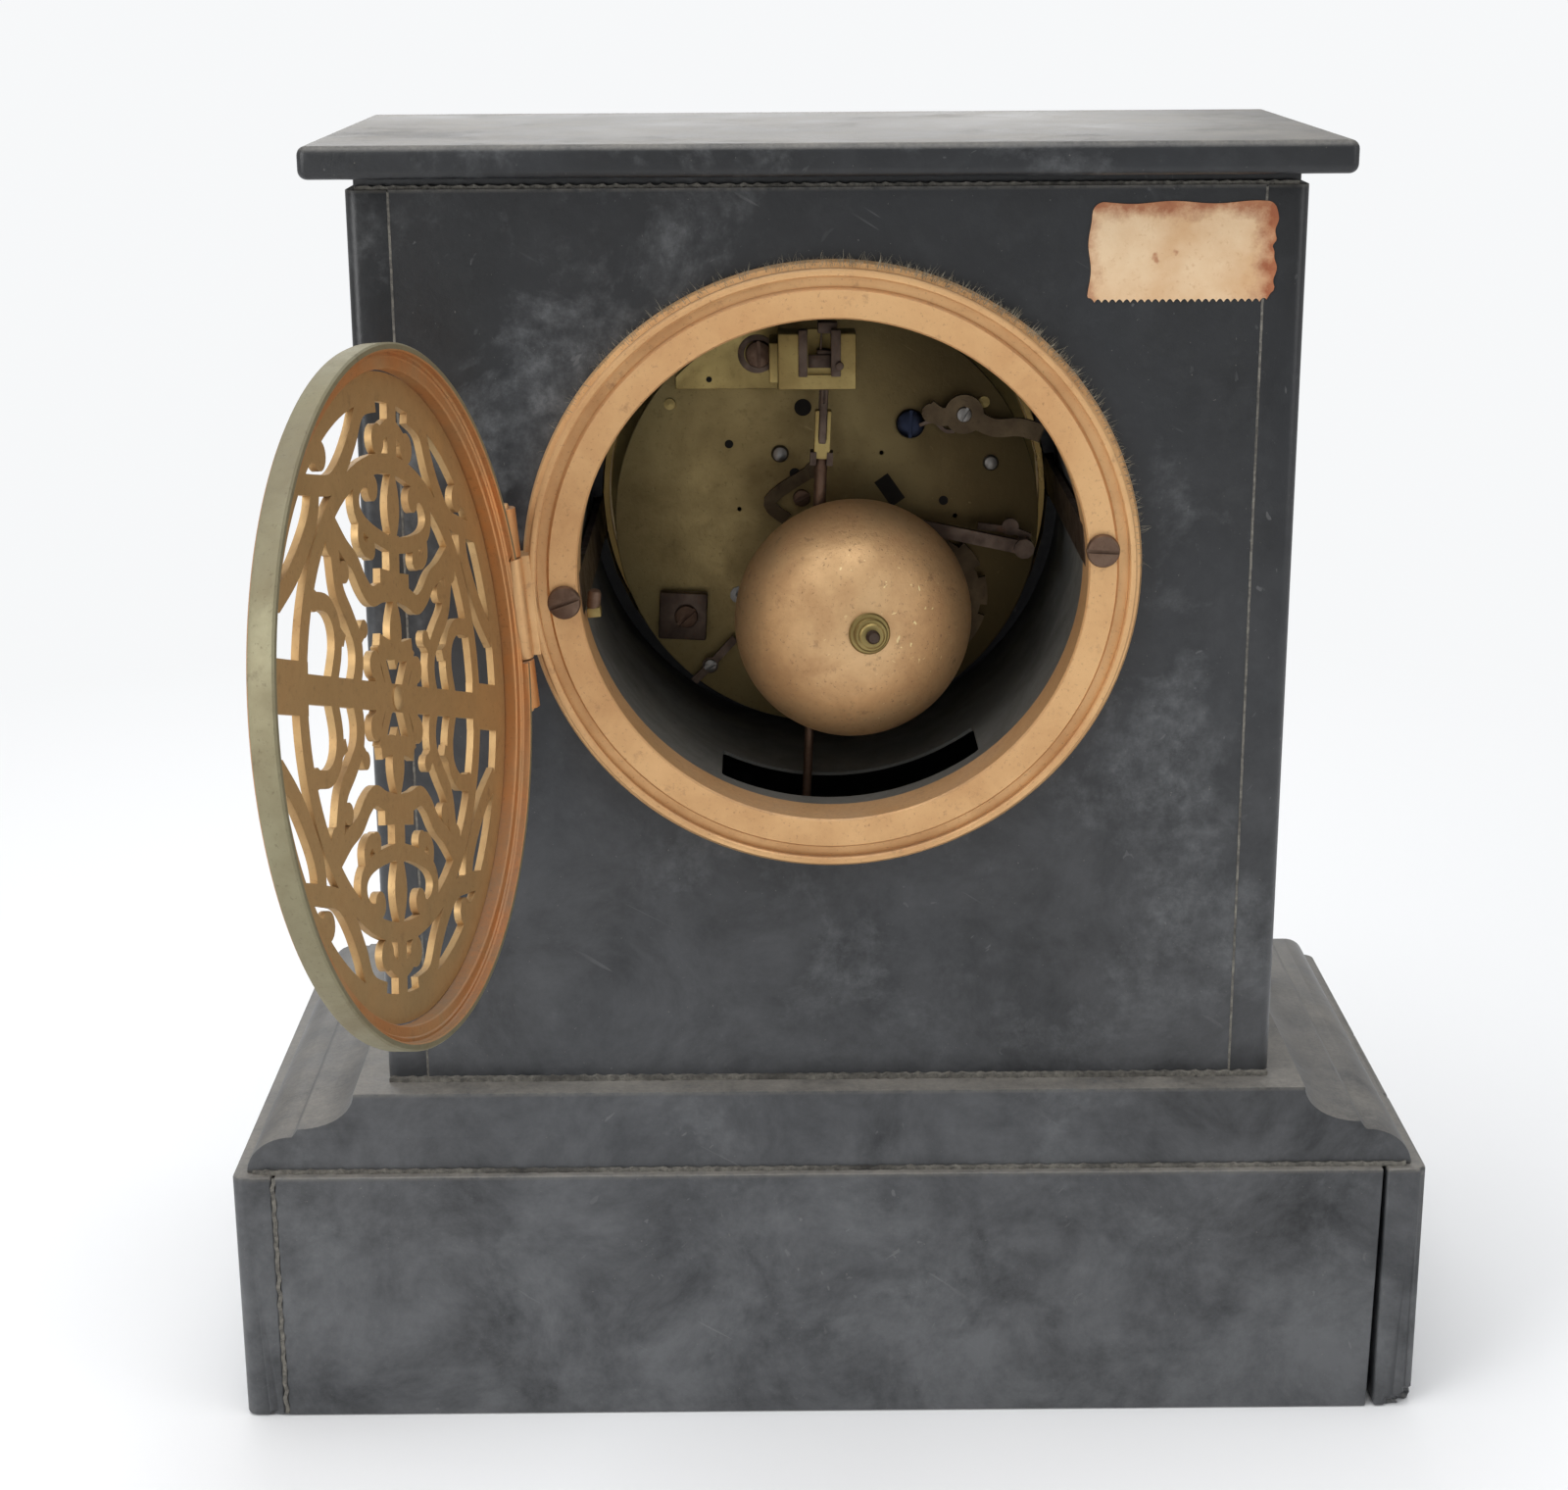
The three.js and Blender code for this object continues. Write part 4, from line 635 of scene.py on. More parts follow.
plinthSpec = dict(edge=0.7, gapTop=0.3, gapFoot=1.3)
half = case["plinthWidth"] / 2
back = case["plinthDepth"] / 2
for side in ("left", "right"):
    form = slabCopy(f"plinth_side_{side}", plinthSpec["edge"])
    if side == "right":
        form = chipped(form, [
            (-half - 0.5, back + 0.5, 1.0, 5.2, 1), (-half + 5, back + 1.6, 0.2, 3.4, 4),
            (-half + 0.2, back + 0.3, 65.6, 2.0, 7), (-half - 0.8, 30, 66.3, 1.8, 2),
            (-half - 1.0, -12, 66.4, 1.9, 5),
        ])
    else:
        form = chipped(form, [
            (half + 0.4, back + 0.4, 66.2, 1.5, 3), (half - 7.5, back + 0.7, 0.3, 1.7, 6),
        ])
    addSlate(f"plinthSide.{side}", form, f"plinth_side_{side}")
form = slabCopy("plinth_back_panel", 0.5)
for vert in form.verts:
    if vert.co.x < 0:
        drop = 1 - vert.co.z / case["plinthHeight"]
        vert.co.x += plinthSpec["gapTop"] + (plinthSpec["gapFoot"] - plinthSpec["gapTop"]) * drop
addSlate("plinthBack", form, "plinth_back_panel")
addSlate("plinthFront", slabCopy("plinth_front_panel", 0.5), "plinth_front_panel")
for side in ("left", "right"):
    form = slabCopy(f"body_side_{side}", 0.3)
    if side == "right":
        form = chipped(form, [(-110.4, 63.9, 268, 1.3, 2), (-110.5, 20, 304.8, 1.4, 8)])
    addSlate(f"bodySide.{side}", form, f"body_side_{side}")


# The moulding's section, as (reach past the body, height): a quarter round, a step and a hollow.
mouldSpec = dict(topReach=7.7, footReach=35, step=0.57, stepLow=0.46, stepHigh=0.56, backStep=8.5, steps=12)


def mouldSection():
    span = mouldSpec["footReach"] - mouldSpec["topReach"]
    stepReach = mouldSpec["topReach"] + span * mouldSpec["step"]
    height = case["mouldHeight"]
    ledge = stepReach - 1.4
    turns = [i / mouldSpec["steps"] * math.pi / 2 for i in range(mouldSpec["steps"] + 1)]
    lower = [
        (stepReach + (mouldSpec["footReach"] - stepReach) * math.cos(t),
         height * mouldSpec["stepLow"] * math.sin(t)) for t in turns
    ]
    upper = [
        (ledge - (ledge - mouldSpec["topReach"]) * math.sin(t),
         height - height * (1 - mouldSpec["stepHigh"]) * math.cos(t)) for t in turns
    ]
    return [*lower, *upper]


# One square loop for each point of the section, bridged from foot to top.
def mouldingShape():
    form = bmesh.new()
    halfBody = case["bodyWidth"] / 2
    loops = []
    for reach, z in mouldSection():
        side, front = halfBody + reach, case["bodyFront"] - reach
        rear = case["bodyBack"] + mouldSpec["backStep"]
        corners = [
            form.verts.new((x, y, case["plinthHeight"] + z))
            for x, y in ((-side, rear), (-side, front), (side, front), (side, rear))
        ]
        loops.append([form.edges.new(pair) for pair in zip(corners, corners[1:] + corners[:1])])
    for low, high in zip(loops, loops[1:]):
        bmesh.ops.bridge_loops(form, edges=low + high)
    inner = []
    for z in (case["plinthHeight"] + 0.02, case["plinthHeight"] + case["mouldHeight"] - 0.02):
        corners = [
            form.verts.new((x, y, z)) for x, y in ((-70, 53.5), (-70, -26.5), (70, -26.5), (70, 53.5))
        ]
        inner.append([form.edges.new(pair) for pair in zip(corners, corners[1:] + corners[:1])])
    bmesh.ops.bridge_loops(form, edges=loops[0] + inner[0])
    bmesh.ops.bridge_loops(form, edges=loops[-1] + inner[1])
    bmesh.ops.bridge_loops(form, edges=inner[0] + inner[1])
    return soften(tidyForm(form), 0.35)


addSlate("plinthMoulding", mouldingShape(), "plinth_moulding")

# The top slab, on a neck set in from the body.
slabSpec = dict(side=118.6, front=-46, back=74.5, round=2.1, neckInset=2)
low, high = case["slabLow"], case["slabHigh"]
form = blockShape(
    (-slabSpec["side"], slabSpec["front"], low), (slabSpec["side"], slabSpec["back"], high),
    slabSpec["round"], 6,
)
form = chipped(form, [(-119.2, 75.1, 315.4, 1.5, 9), (119.3, 60, 316.6, 1.3, 3), (22, 75.3, 316.3, 1.0, 5)])
inset = slabSpec["neckInset"]
neck = blockShape(
    (-110 + inset, case["bodyFront"] + inset, case["bodyTop"] + 0.01),
    (110 - inset, case["bodyBack"] - inset, low + 0.5), 0.2,
)
addSlate("topSlab", gathered(form, neck), "top_slab")
for name in ("base_board", "body_back_panel", "body_front_panel"):
    dress(name, slate)
print("slate case built")


# The back ring, with its bead, groove and hinge leaf.
ringSpec = dict(
    boreR=59.9, outerR=72.9, beadInner=69.5, beadOuter=71.3, grooveInner=66.7, seat=63.8, face=69.9,
    collarEnd=57.5, collarR=62.2, groove=1.8, knuckleR=2.6, knuckleHalf=12, pinR=1.15, screwReach=63.3,
)


def hingeTube(radius, bore, low, high, reach, y):
    form = upended(turnShape([(bore, low), (radius, low), (radius, high), (bore, high)], 32, width=0.25))
    lowest = min(vert.co.z for vert in form.verts)
    return slid(form, reach, y, low - lowest)


def rearRingShape():
    s = ringSpec
    form = turnShape([
        (s["boreR"], s["collarEnd"]), (s["collarR"], s["collarEnd"]), (s["collarR"], s["seat"]),
        (s["outerR"], s["seat"]), (s["outerR"], s["seat"] + 1.7), (s["outerR"] - 0.5, s["seat"] + 2.5),
        (s["beadOuter"], s["face"] - 3.4), (s["beadOuter"], s["face"] - 0.1),
        (s["beadOuter"] - 0.35, s["face"] + 0.3), (s["beadOuter"] - 0.9, s["face"] + 0.4),
        (s["beadInner"] + 0.35, s["face"] + 0.3), (s["beadInner"], s["face"] - 0.1),
        (s["beadInner"], s["face"] - s["groove"]), (s["grooveInner"] + 0.5, s["face"] - s["groove"]),
        (s["grooveInner"] + 0.3, s["face"] - 0.7), (s["grooveInner"] - 0.2, s["face"]),
        (63.4, s["face"] - 0.12), (s["boreR"] + 0.4, s["face"]), (s["boreR"], s["face"] - 0.5),
    ], 192)
    leaf = blockShape(
        (s["beadInner"] + 0.6, s["seat"] + 0.1, -s["knuckleHalf"]),
        (hinge["reach"], s["face"] + 0.6, s["knuckleHalf"]), 0.3,
    )
    knuckle = hingeTube(
        s["knuckleR"], s["pinR"], -s["knuckleHalf"], s["knuckleHalf"], hinge["reach"], hinge["y"],
    )
    return gathered(form, leaf, knuckle)


# A slotted screw whose head stands out along +Y from y = 0.
screwSpec = dict(dome=0.07, slotWidth=0.9, slotDepth=0.8)


def screwShape(radius, height, slotTurn, shank=0.0):
    s = screwSpec
    outline = [
        (0, -shank), (radius * 0.4, -shank), (radius * 0.4, 0), (radius, 0), (radius, height * 0.55),
        (radius * 0.93, height * 0.8), (radius * 0.72, height * 0.94), (radius * 0.4, height),
        (0, height + s["dome"]),
    ]
    if not shank:
        outline = [(0, 0), *outline[3:]]
    head = turnShape(outline, 40, closed=False)
    slot = blockShape(
        (-radius - 1, height - s["slotDepth"], -s["slotWidth"] / 2),
        (radius + 1, height + 2, s["slotWidth"] / 2), 0,
    )
    slot.transform(Matrix.Rotation(math.radians(slotTurn), 4, "Y"))
    return carved(head, [slot])


addPiece("rearRing", rearRingShape(), "case", ringBrass, rearPlace, ["rear_ring"])
for side, sign, slotTurn in (("left", 1, 14), ("right", -1, -8)):
    form = screwShape(3.9, 2.0, slotTurn, shank=12)
    form = slid(form, sign * ringSpec["screwReach"], ringSpec["face"] + 0.1, 0)
    addPiece(f"ringScrew.{side}", form, "case", rustSteel, rearPlace, [f"rear_ring_screw_{side}"])


# The drum lining, open below for the pendulum.
linerSpec = dict(inside=62.5, wall=0.8, front=-26.2, rear=62.5, slotHalf=32.19, slotNear=43.5, slotFar=22.5)


def linerShape():
    s = linerSpec
    form = turnShape([
        (s["inside"], s["front"]), (s["inside"] + s["wall"], s["front"]),
        (s["inside"] + s["wall"], s["rear"]), (s["inside"], s["rear"]),
    ], 160)
    slot = blockShape((-s["slotHalf"], s["slotFar"], -70), (s["slotHalf"], s["slotNear"], -43), 1.2, 3)
    strapSlot = blockShape((-68, 53.5, -5.4), (68, 64.5, 5.4), 0)
    return carved(form, [slot, strapSlot])


addPiece("drumLiner", linerShape(), "case", linerMetal, rearPlace, ["drum_liner"])
for name in ("strap_left", "strap_right"):
    dress(name, darkSteel)
pin = hingeTube(1.1, 0.0, -25, 25, hinge["reach"], hinge["y"])
addPiece("rearHingePin", pin, "case", ringBrass, rearPlace, ["rear_hinge_pin"])

# The end of the strap's stud, seen just inside the ring on the left.
stud = turnShape([(0, 0), (1.6, 0), (1.6, 3.4), (1.2, 4.1), (0, 4.3)], 32, closed=False)
stud.transform(Matrix.Rotation(math.radians(80), 4, "X") @ Matrix.Rotation(math.radians(12), 4, "Z"))
bmesh.ops.recalc_face_normals(stud, faces=stud.faces)
addPiece("strapStud", slid(stud, 57.3, 62.6, -3.4), "case", rustSteel, rearPlace)
form = blockShape((55.6, 60.6, -5.8), (58.9, 64.2, -3.5), 0.3)
addPiece("strapStudNut", form, "case", cockBrass, rearPlace)
print("ring and drum built")


# The back door: a stepped rim with the pierced plate let into it.
doorSpec = dict(
    outerR=73.3, rimInner=71.6, ledgeInner=68, rimBack=69.5, ledge=71.5, front=75.3, knuckleEnd=24,
    plateBack=74.4, plateFront=76.0, turn=math.radians(18.4), scale=67.7 / 67.5,
)


def doorFrameShape():
    s = doorSpec
    form = turnShape([
        (s["rimInner"], s["rimBack"] + 0.2), (s["rimInner"] + 0.3, s["rimBack"]),
        (s["outerR"] - 0.4, s["rimBack"]), (s["outerR"], s["rimBack"] + 0.4),
        (s["outerR"], s["front"] - 1.4), (s["outerR"] - 0.3, s["front"] - 0.5),
        (s["outerR"] - 1, s["front"]), (s["ledgeInner"] + 0.8, s["front"]),
        (s["ledgeInner"] + 0.2, s["front"] - 0.2), (s["ledgeInner"], s["front"] - 0.8),
        (s["ledgeInner"], s["ledge"] + 0.3), (s["ledgeInner"] + 0.3, s["ledge"]),
        (s["rimInner"] - 1.3, s["ledge"]), (s["rimInner"] - 1.0, s["ledge"] - 0.35),
        (s["rimInner"] - 0.3, s["ledge"] - 0.2), (s["rimInner"], s["ledge"] - 0.6),
    ], 192)
    room = ringSpec["knuckleHalf"] + 0.4
    for face in form.faces:
        centre = face.calc_center_median()
        if math.hypot(centre.x, centre.z) > s["rimInner"] + 0.15 and centre.y < s["front"] - 0.3:
            face.material_index = 1
    notch = blockShape((hinge["reach"] - 3.2, 63.5, -room), (hinge["reach"] + 10, 93, room), 0)
    leafRoom = blockShape(
        (ringSpec["beadInner"], 63.5, -room), (hinge["reach"], ringSpec["face"] + 1, room), 0,
    )
    form = carved(form, [notch, leafRoom])
    parts = [form]
    for low, high in ((room, s["knuckleEnd"]), (-s["knuckleEnd"], -room)):
        parts.append(hingeTube(
            ringSpec["knuckleR"], ringSpec["pinR"], low, high, hinge["reach"], hinge["y"],
        ))
        parts.append(blockShape(
            (s["ledgeInner"] + 0.4, s["ledge"] + 0.4, low),
            (hinge["reach"] - 0.4, s["front"] - 0.2, high), 0.3,
        ))
    return gathered(*parts)


# One quarter of the scrollwork; it is mirrored both ways and turned in its rim.
# Each scroll is a width and the line it follows, each ball a radius and its middle.
fretScrolls = [
    (4.2, [(9, 60.5), (17, 58.2), (21.5, 51.5), (26.5, 45.5), (32.5, 41), (40, 39.8), (50, 39)]),
    (4.4, [(60, 15.5), (52, 21.5), (45.5, 28.5), (42, 34), (41, 39)]),
    (4.0, [(38.3, 45.8), (42, 46), (47, 44)]),
    (3.4, [(0, 57), (4, 55.5), (8, 53)]),
    (3.4, [(11.3, 43), (15.5, 44), (19.3, 41.8), (20, 38), (17, 35), (10, 33), (-1, 31.5)]),
    (3.0, [(17.5, 35), (18, 31.5), (15.5, 29.5), (12.8, 30)]),
    (4.2, [(-1, 22.3), (7, 21.5), (12.5, 20.3), (17, 22.3), (21.5, 26.3), (27, 29), (33.5, 33.5)]),
    (3.2, [(-1, 24.5), (8, 24.8)]),
    (4.2, [(33, 32), (31.5, 26.5), (29.5, 20), (24.5, 15), (20.8, 10.5), (20.3, 5.5), (22.5, 0.5)]),
    (3.0, [(20.6, 10.5), (19, 12), (17.3, 13.3)]),
    (3.6, [(42.5, 17.2), (36, 17), (31.8, 13.5), (31, 8), (33.5, 1.5)]),
    (2.6, [(31.2, 12.5), (29.5, 11.3), (27.5, 10.3)]),
    (4.0, [(7, 0), (9.5, 3.5), (11.6, 6.4)]),
    (4.2, [(-1, 10.6), (3.5, 9.8), (9.2, 10.9)]),
    (3.0, [(9.0, 10.7), (6.5, 6), (3.5, 1)]),
]
fretBalls = [
    (3.1, (38.3, 45.8)), (3.3, (8, 53)), (2.8, (11.3, 42.6)), (2.4, (12.8, 30)), (2.9, (11.6, 6.4)),
    (2.5, (33.5, 29)), (2.3, (27, 24)), (2.2, (42.5, 17.2)), (1.9, (17.3, 13.3)),
]


def flatShape(corners, low, high):
    form = bmesh.new()
    face = form.faces.new([form.verts.new((x, low, z)) for x, z in corners])
    grown = bmesh.ops.extrude_face_region(form, geom=[face])
    raised = [item for item in grown["geom"] if isinstance(item, bmesh.types.BMVert)]
    bmesh.ops.translate(form, vec=(0, high - low, 0), verts=raised)
    return tidyForm(form)


# A pointed oval between two places on the upright axis.
def leafCorners(low, high, halfWidth):
    steps = 10
    rise = [
        (halfWidth * math.sin(math.pi * i / steps), low + (high - low) * i / steps)
        for i in range(steps + 1)
    ]
    return [*rise, *[(-x, z) for x, z in rise[-2:0:-1]]]


def grilleShape():
    low, high = doorSpec["plateBack"], doorSpec["plateFront"]
    flips = [Matrix.Diagonal((x, 1, z, 1)) for x in (1, -1) for z in (1, -1)]
    shapes = []

    def keep(form):
        shapes.append(tidyForm(form))

    for flip in flips:
        for width, line in fretScrolls:
            keep(moved(strokeShape(line, width, low, high, 5), flip))
        for radius, (x, z) in fretBalls:
            keep(moved(slid(discShape(radius, low, high, 20, 0), x, 0, z), flip))
    for turn in (1, -1):
        flip = Matrix.Diagonal((1, 1, turn, 1))
        keep(moved(flatShape(leafCorners(31, 48.5, 3.4), low, high), flip))
        keep(moved(flatShape(leafCorners(6, 21.5, 3.3), low, high), flip))
        keep(moved(blockShape((-2.8, low, 20), (2.8, high, 34), 0), flip))
        keep(moved(blockShape((-2.5, low, 47), (2.5, high, 63), 0), flip))
        keep(moved(blockShape((46, low, -5.2), (62, high, 5.2), 0), Matrix.Diagonal((turn, 1, 1, 1))))
    keep(blockShape((-60, low, -2.9), (60, high, 2.9), 0))
    keep(turnShape([(46.5, low), (50.7, low), (50.7, high), (46.5, high)], 96))
    first, *others = shapes
    fret = carved(first, others, "UNION")
    size = doorSpec["scale"]
    fret.transform(Matrix.Rotation(doorSpec["turn"], 4, "Y") @ Matrix.Diagonal((size, 1, size, 1)))
    rim = turnShape([(61.5, low), (67.7, low), (67.7, high), (61.5, high)], 160)
    boss = turnShape([
        (0, high - 0.2), (3.2, high - 0.2), (3.2, high + 0.5), (2.7, high + 1.2), (1.5, high + 1.7),
        (0, high + 1.8),
    ], 32, closed=False)
    back = turnShape([
        (0, low + 0.2), (2.6, low + 0.2), (2.6, low - 0.3), (2.0, low - 0.9), (1.0, low - 1.2),
        (0, low - 1.3),
    ], 32, closed=False)
    whole = carved(rim, [fret, boss, back], "UNION")
    bmesh.ops.dissolve_limit(whole, angle_limit=math.radians(0.5), verts=whole.verts, edges=whole.edges)
    return whole


addPiece(
    "doorFrame", doorFrameShape(), "rear_door", (doorBrass, doorEdgeBrass), doorPlace,
    ["rear_door_frame"],
)
addPiece(
    "doorGrille", grilleShape(), "rear_door", grilleBrass, doorPlace, ["rear_door_grille"],
)
print("back door built")


# The movement's back plate, and what is planted on it.
plateSpec = dict(radius=54.5, front=0.8, back=3.0)
form = discShape(plateSpec["radius"], plateSpec["front"], plateSpec["back"], 160, 0.35)
addPiece("backPlate", form, "case", plateBrass, frontPlace, ["back_plate"])


# Small trim fixed to the plate, placed by the clock's own x and z.
def trim(name, form, material, spot=(0, 0), turn=0.0):
    x, z = spot
    place = Matrix.Translation((x * mm, 0, z * mm)) @ Matrix.Rotation(math.radians(turn), 4, "Y")
    return addPiece(name, form, "case", material, place)


# A flat lever cut from sheet, from eye to tip along a line.
def leverShape(line, width, low, high, eyes=()):
    parts = [strokeShape(line, width, low, high, 6)]
    parts += [slid(discShape(radius, low, high, 32, 0), x, 0, z) for x, z, radius in eyes]
    first, *others = parts
    form = carved(first, others, "UNION") if others else first
    return soften(form, 0.15, 1)


back = plateSpec["back"]
trim("blockScrew", slid(screwShape(3.0, 1.9, 42), 0, back + 3.6, 0), rustSteel, (35.5, 191.8))
form = blockShape((-6.2, back + 0.02, -6.2), (6.2, back + 3.6, 6.2), 0.5)
trim("blockSquare", form, darkSteel, (36.4, 191.6), turn=-3)
trim("plateScrew", slid(screwShape(3.7, 2.6, 88), 0, back + 0.02, 0), bluedSteel, (-22.3, 241.1))
trim("smallScrew", slid(screwShape(2.2, 1.6, 28), 0, back + 0.02, 0), rustSteel, (5.5, 222.0))
for name, spot, radius, height in (
    ("domeA", (11.0, 233.5), 2.2, 1.8),
    ("domeB", (-43.0, 230.8), 2.0, 1.6),
):
    form = turnShape([
        (0, back + 0.02), (radius, back + 0.02), (radius, back + height * 0.45),
        (radius * 0.8, back + height * 0.8), (radius * 0.4, back + height), (0, back + height * 1.03),
    ], 32, closed=False)
    trim(f"pivotEnd.{name}", form, plainSteel, spot)
# Near-black discs on the plate for the pivot holes: painted shade.
for i, (x, z, radius) in enumerate(((5.1, 245.3, 2.2), (7.2, 228.3, 1.4), (-31, 221, 1.2), (24, 236, 1.1))):
    trim(f"pivotHole.{i}", discShape(radius, back + 0.01, back + 0.09, 24, 0), holeShadeMaterial, (x, z))
# A near-black strip on the plate for the slot: painted shade.
form = strokeShape([(-14.9, 227.0), (-19.4, 220.6)], 4.2, back + 0.01, back + 0.08)
trim("plateSlot", form, holeShadeMaterial)
form = leverShape(
    [(2.7, 229.3), (13.6, 221.6), (9.3, 216.5)], 3.2, back + 0.3, back + 1.7, ((2.7, 229.3, 2.0),),
)
trim("stopArm", form, leverBronze)

# The strike's locking lever and its spring wire.
form = leverShape(
    [(-26.5, 245.6), (-30, 243.4), (-35.7, 244.0), (-43, 240.6), (-50, 240.6), (-55.6, 238.8)], 4.6,
    back + 3.2, back + 4.8, ((-35.7, 244.0, 5.0), (-27.4, 244.4, 2.4)),
)
trim("lockingLever", form, leverBronze)
trim("lockingPivot", slid(screwShape(1.9, 0.9, 60), 0, back + 4.8, 0), plainSteel, (-35.7, 244.0))
trim("lockingPost", discShape(1.4, back + 0.02, back + 3.2, 24, 0), plainSteel, (-35.7, 244.0))
form = strokeShape(
    [(-24.5, 241.0), (-28, 242.0), (-31.0, 239.6), (-33.4, 239.4)], 0.9, back + 2.2, back + 3.2,
)
trim("lockingSpring", form, darkSteel)
form = leverShape(
    [(-39.5, 215.5), (-47.8, 214.4), (-53.0, 212.6)], 1.7, back + 5.2, back + 6.4, ((-47.8, 215.2, 2.2),),
)
trim("countDetent", form, darkSteel)
trim("detentPost", discShape(1.1, back + 0.02, back + 5.2, 24, 0), darkSteel, (-47.8, 215.2))
form = leverShape(
    [(23.0, 185.4), (29.5, 178.3), (33.8, 174.0)], 2.0, back + 1.6, back + 2.8, ((29.5, 178.3, 2.1),),
)
trim("clickArm", form, darkSteel)
trim("clickPost", slid(screwShape(1.7, 0.9, 20), 0, back + 2.8, 0), plainSteel, (29.5, 178.3))
trim("clickFoot", discShape(1.4, back + 0.02, back + 1.7, 24, 0), plainSteel, (29.5, 178.3))
print("back plate built")


# The suspension cock: a foot screwed to the plate and a thick block that carries the spring.
cockSpec = dict(footLow=34.2, footHigh=50, blockLow=37.8, blockHigh=51.5, blockFront=22, blockRear=32)


def cockShape():
    s = cockSpec
    foot = blockShape((12.4, 3.02, s["footLow"]), (38.4, 7, s["footHigh"]), 0.35)
    disc = discShape(53.4, 0, 12, 160, 0)
    foot = carved(foot, [disc], "INTERSECT")
    arm = blockShape((8.2, 3.02, s["blockLow"] + 0.4), (14.6, s["blockFront"] + 1, 48), 0.3)
    block = blockShape((-6.6, s["blockFront"], s["blockLow"]), (12.5, s["blockRear"], s["blockHigh"]), 0.5)
    groove = blockShape((-0.6, 24, 42.9), (5.2, s["blockRear"] + 2, 60), 0.2)
    step = blockShape((-0.6, 30.4, 41.4), (5.2, s["blockRear"] + 2, 60), 0.1)
    block = carved(block, [groove, step])
    return gathered(foot, arm, block)


addPiece(
    "suspensionCock", cockShape(), "case", cockBrass, frontPlace, ["suspension_cock"],
)
trim("cockScrew", slid(screwShape(3.4, 2.0, 92), 0, 7.02, 0), rustSteel, (16.2, 259.6))
form = turnShape([(3.3, 7.01), (4.9, 7.01), (4.7, 7.08), (3.4, 7.08)], 40)
trim("cockScrewSeat", form, darkSteel, (16.6, 259.6))
# A near-black disc on the cock foot for the dowel hole: painted shade.
trim("cockDowel", discShape(0.75, 7.0, 7.06, 20, 0), holeShadeMaterial, (28.8, 253.2))
for name, low, high in (
    ("cheekLeft", (4.3, 30.2, 257.6), (6.5, 33.2, 269)),
    ("cheekRight", (-3.8, 30.2, 257.6), (-1.4, 33.2, 269)),
    ("cheekFoot", (-1.5, 29.4, 258.6), (4.4, 30.3, 262.6)),
):
    trim(f"suspension.{name}", blockShape(low, high, 0.25), darkSteel)
trim("suspensionPin", discShape(1.0, 33.0, 34.0, 24, 0.2), darkSteel, (-3.5, 260.3))

# The suspension spring: two thin strips between brass chops, hung on a cross pin.
form = gathered(
    blockShape((-1.55, 25.3, 1.4), (-1.15, 28.9, 6.6), 0.05, 1),
    blockShape((1.15, 25.3, 1.4), (1.55, 28.9, 6.6), 0.05, 1),
    blockShape((-2.4, 25.0, 5.6), (2.4, 29.6, 8.4), 0.4),
    blockShape((-2.3, 25.0, -1.2), (2.3, 29.4, 1.6), 0.35),
    blockShape((-0.3, 26.4, -5.6), (0.3, 27.6, -1.0), 0.1),
)
addPiece("suspensionSpring", form, "pendulum", darkSteel, swingPlace, ["suspension_spring"])

# The rod hangs by a slotted steel hook in a brass fork.
rodSpec = dict(y=27, radius=1.15, thick=1.55, foot=-193.3, nutMiddle=-188.8)


def uprightRod(radius, low, high):
    return slid(upended(discShape(radius, low, high, 24, 0.15)), 0, rodSpec["y"], 0)


hook = blockShape((-0.95, 28.0, -21.6), (0.95, 29.2, -6.2), 0.4)
hook = carved(hook, [blockShape((-0.3, 27, -11.6), (0.3, 30, -7.4), 0.1)])
addPiece("pendulumHook", hook, "pendulum", darkSteel, swingPlace)
fork = blockShape((-2.0, 25.4, -25.4), (2.0, 28.9, -13.4), 0.3)
fork = carved(fork, [
    blockShape((-1.05, 24, -20.6), (1.05, 31, -12), 0.25),
    moved(blockShape((1.6, 24, -17.0), (3.4, 31, -12), 0.1), Matrix.Rotation(math.radians(-4), 4, "Y")),
])
addPiece("pendulumFork", fork, "pendulum", cockBrass, swingPlace)
form = gathered(
    uprightRod(rodSpec["thick"], -37.5, -25.0), uprightRod(rodSpec["radius"], rodSpec["foot"], -37.0),
)
addPiece("pendulumRod", form, "pendulum", rustSteel, swingPlace, ["pendulum_rod"])
dress("anchor_and_crutch", darkSteel)

# The bob: a shallow brass lens with a cover plate, set on the rod by its nut.
bobSpec = dict(radius=18, half=4.5, drop=169, steps=14)


def bobShape():
    s = bobSpec
    arc = [math.pi / 2 * i / s["steps"] for i in range(s["steps"] + 1)]
    half = [(s["radius"] * math.sin(t), 0.9 + (s["half"] - 0.9) * math.cos(t)) for t in arc]
    form = turnShape([*half, *[(radius, -y) for radius, y in reversed(half)]], 96, closed=False)
    rod = upended(discShape(1.3, -s["radius"] - 2, s["radius"] + 2, 24, 0))
    return slid(carved(form, [rod]), 0, rodSpec["y"], -s["drop"])


addPiece("pendulumBob", bobShape(), "pendulum", bezelBrass, swingPlace, ["pendulum_bob"])
nut = upended(turnShape(
    [(1.25, -1.5), (3.6, -1.5), (4.0, -1.2), (4.0, 1.2), (3.6, 1.5), (1.25, 1.5)], 40,
))
nut = slid(nut, 0, rodSpec["y"], rodSpec["nutMiddle"])
addPiece("ratingNut", nut, "pendulum", bezelBrass, swingPlace, ["rating_nut"])
print("pendulum built")

# The bell, its post and its nut.
bellSpec = dict(radius=29.8, height=23, wall=1.6, steps=40)


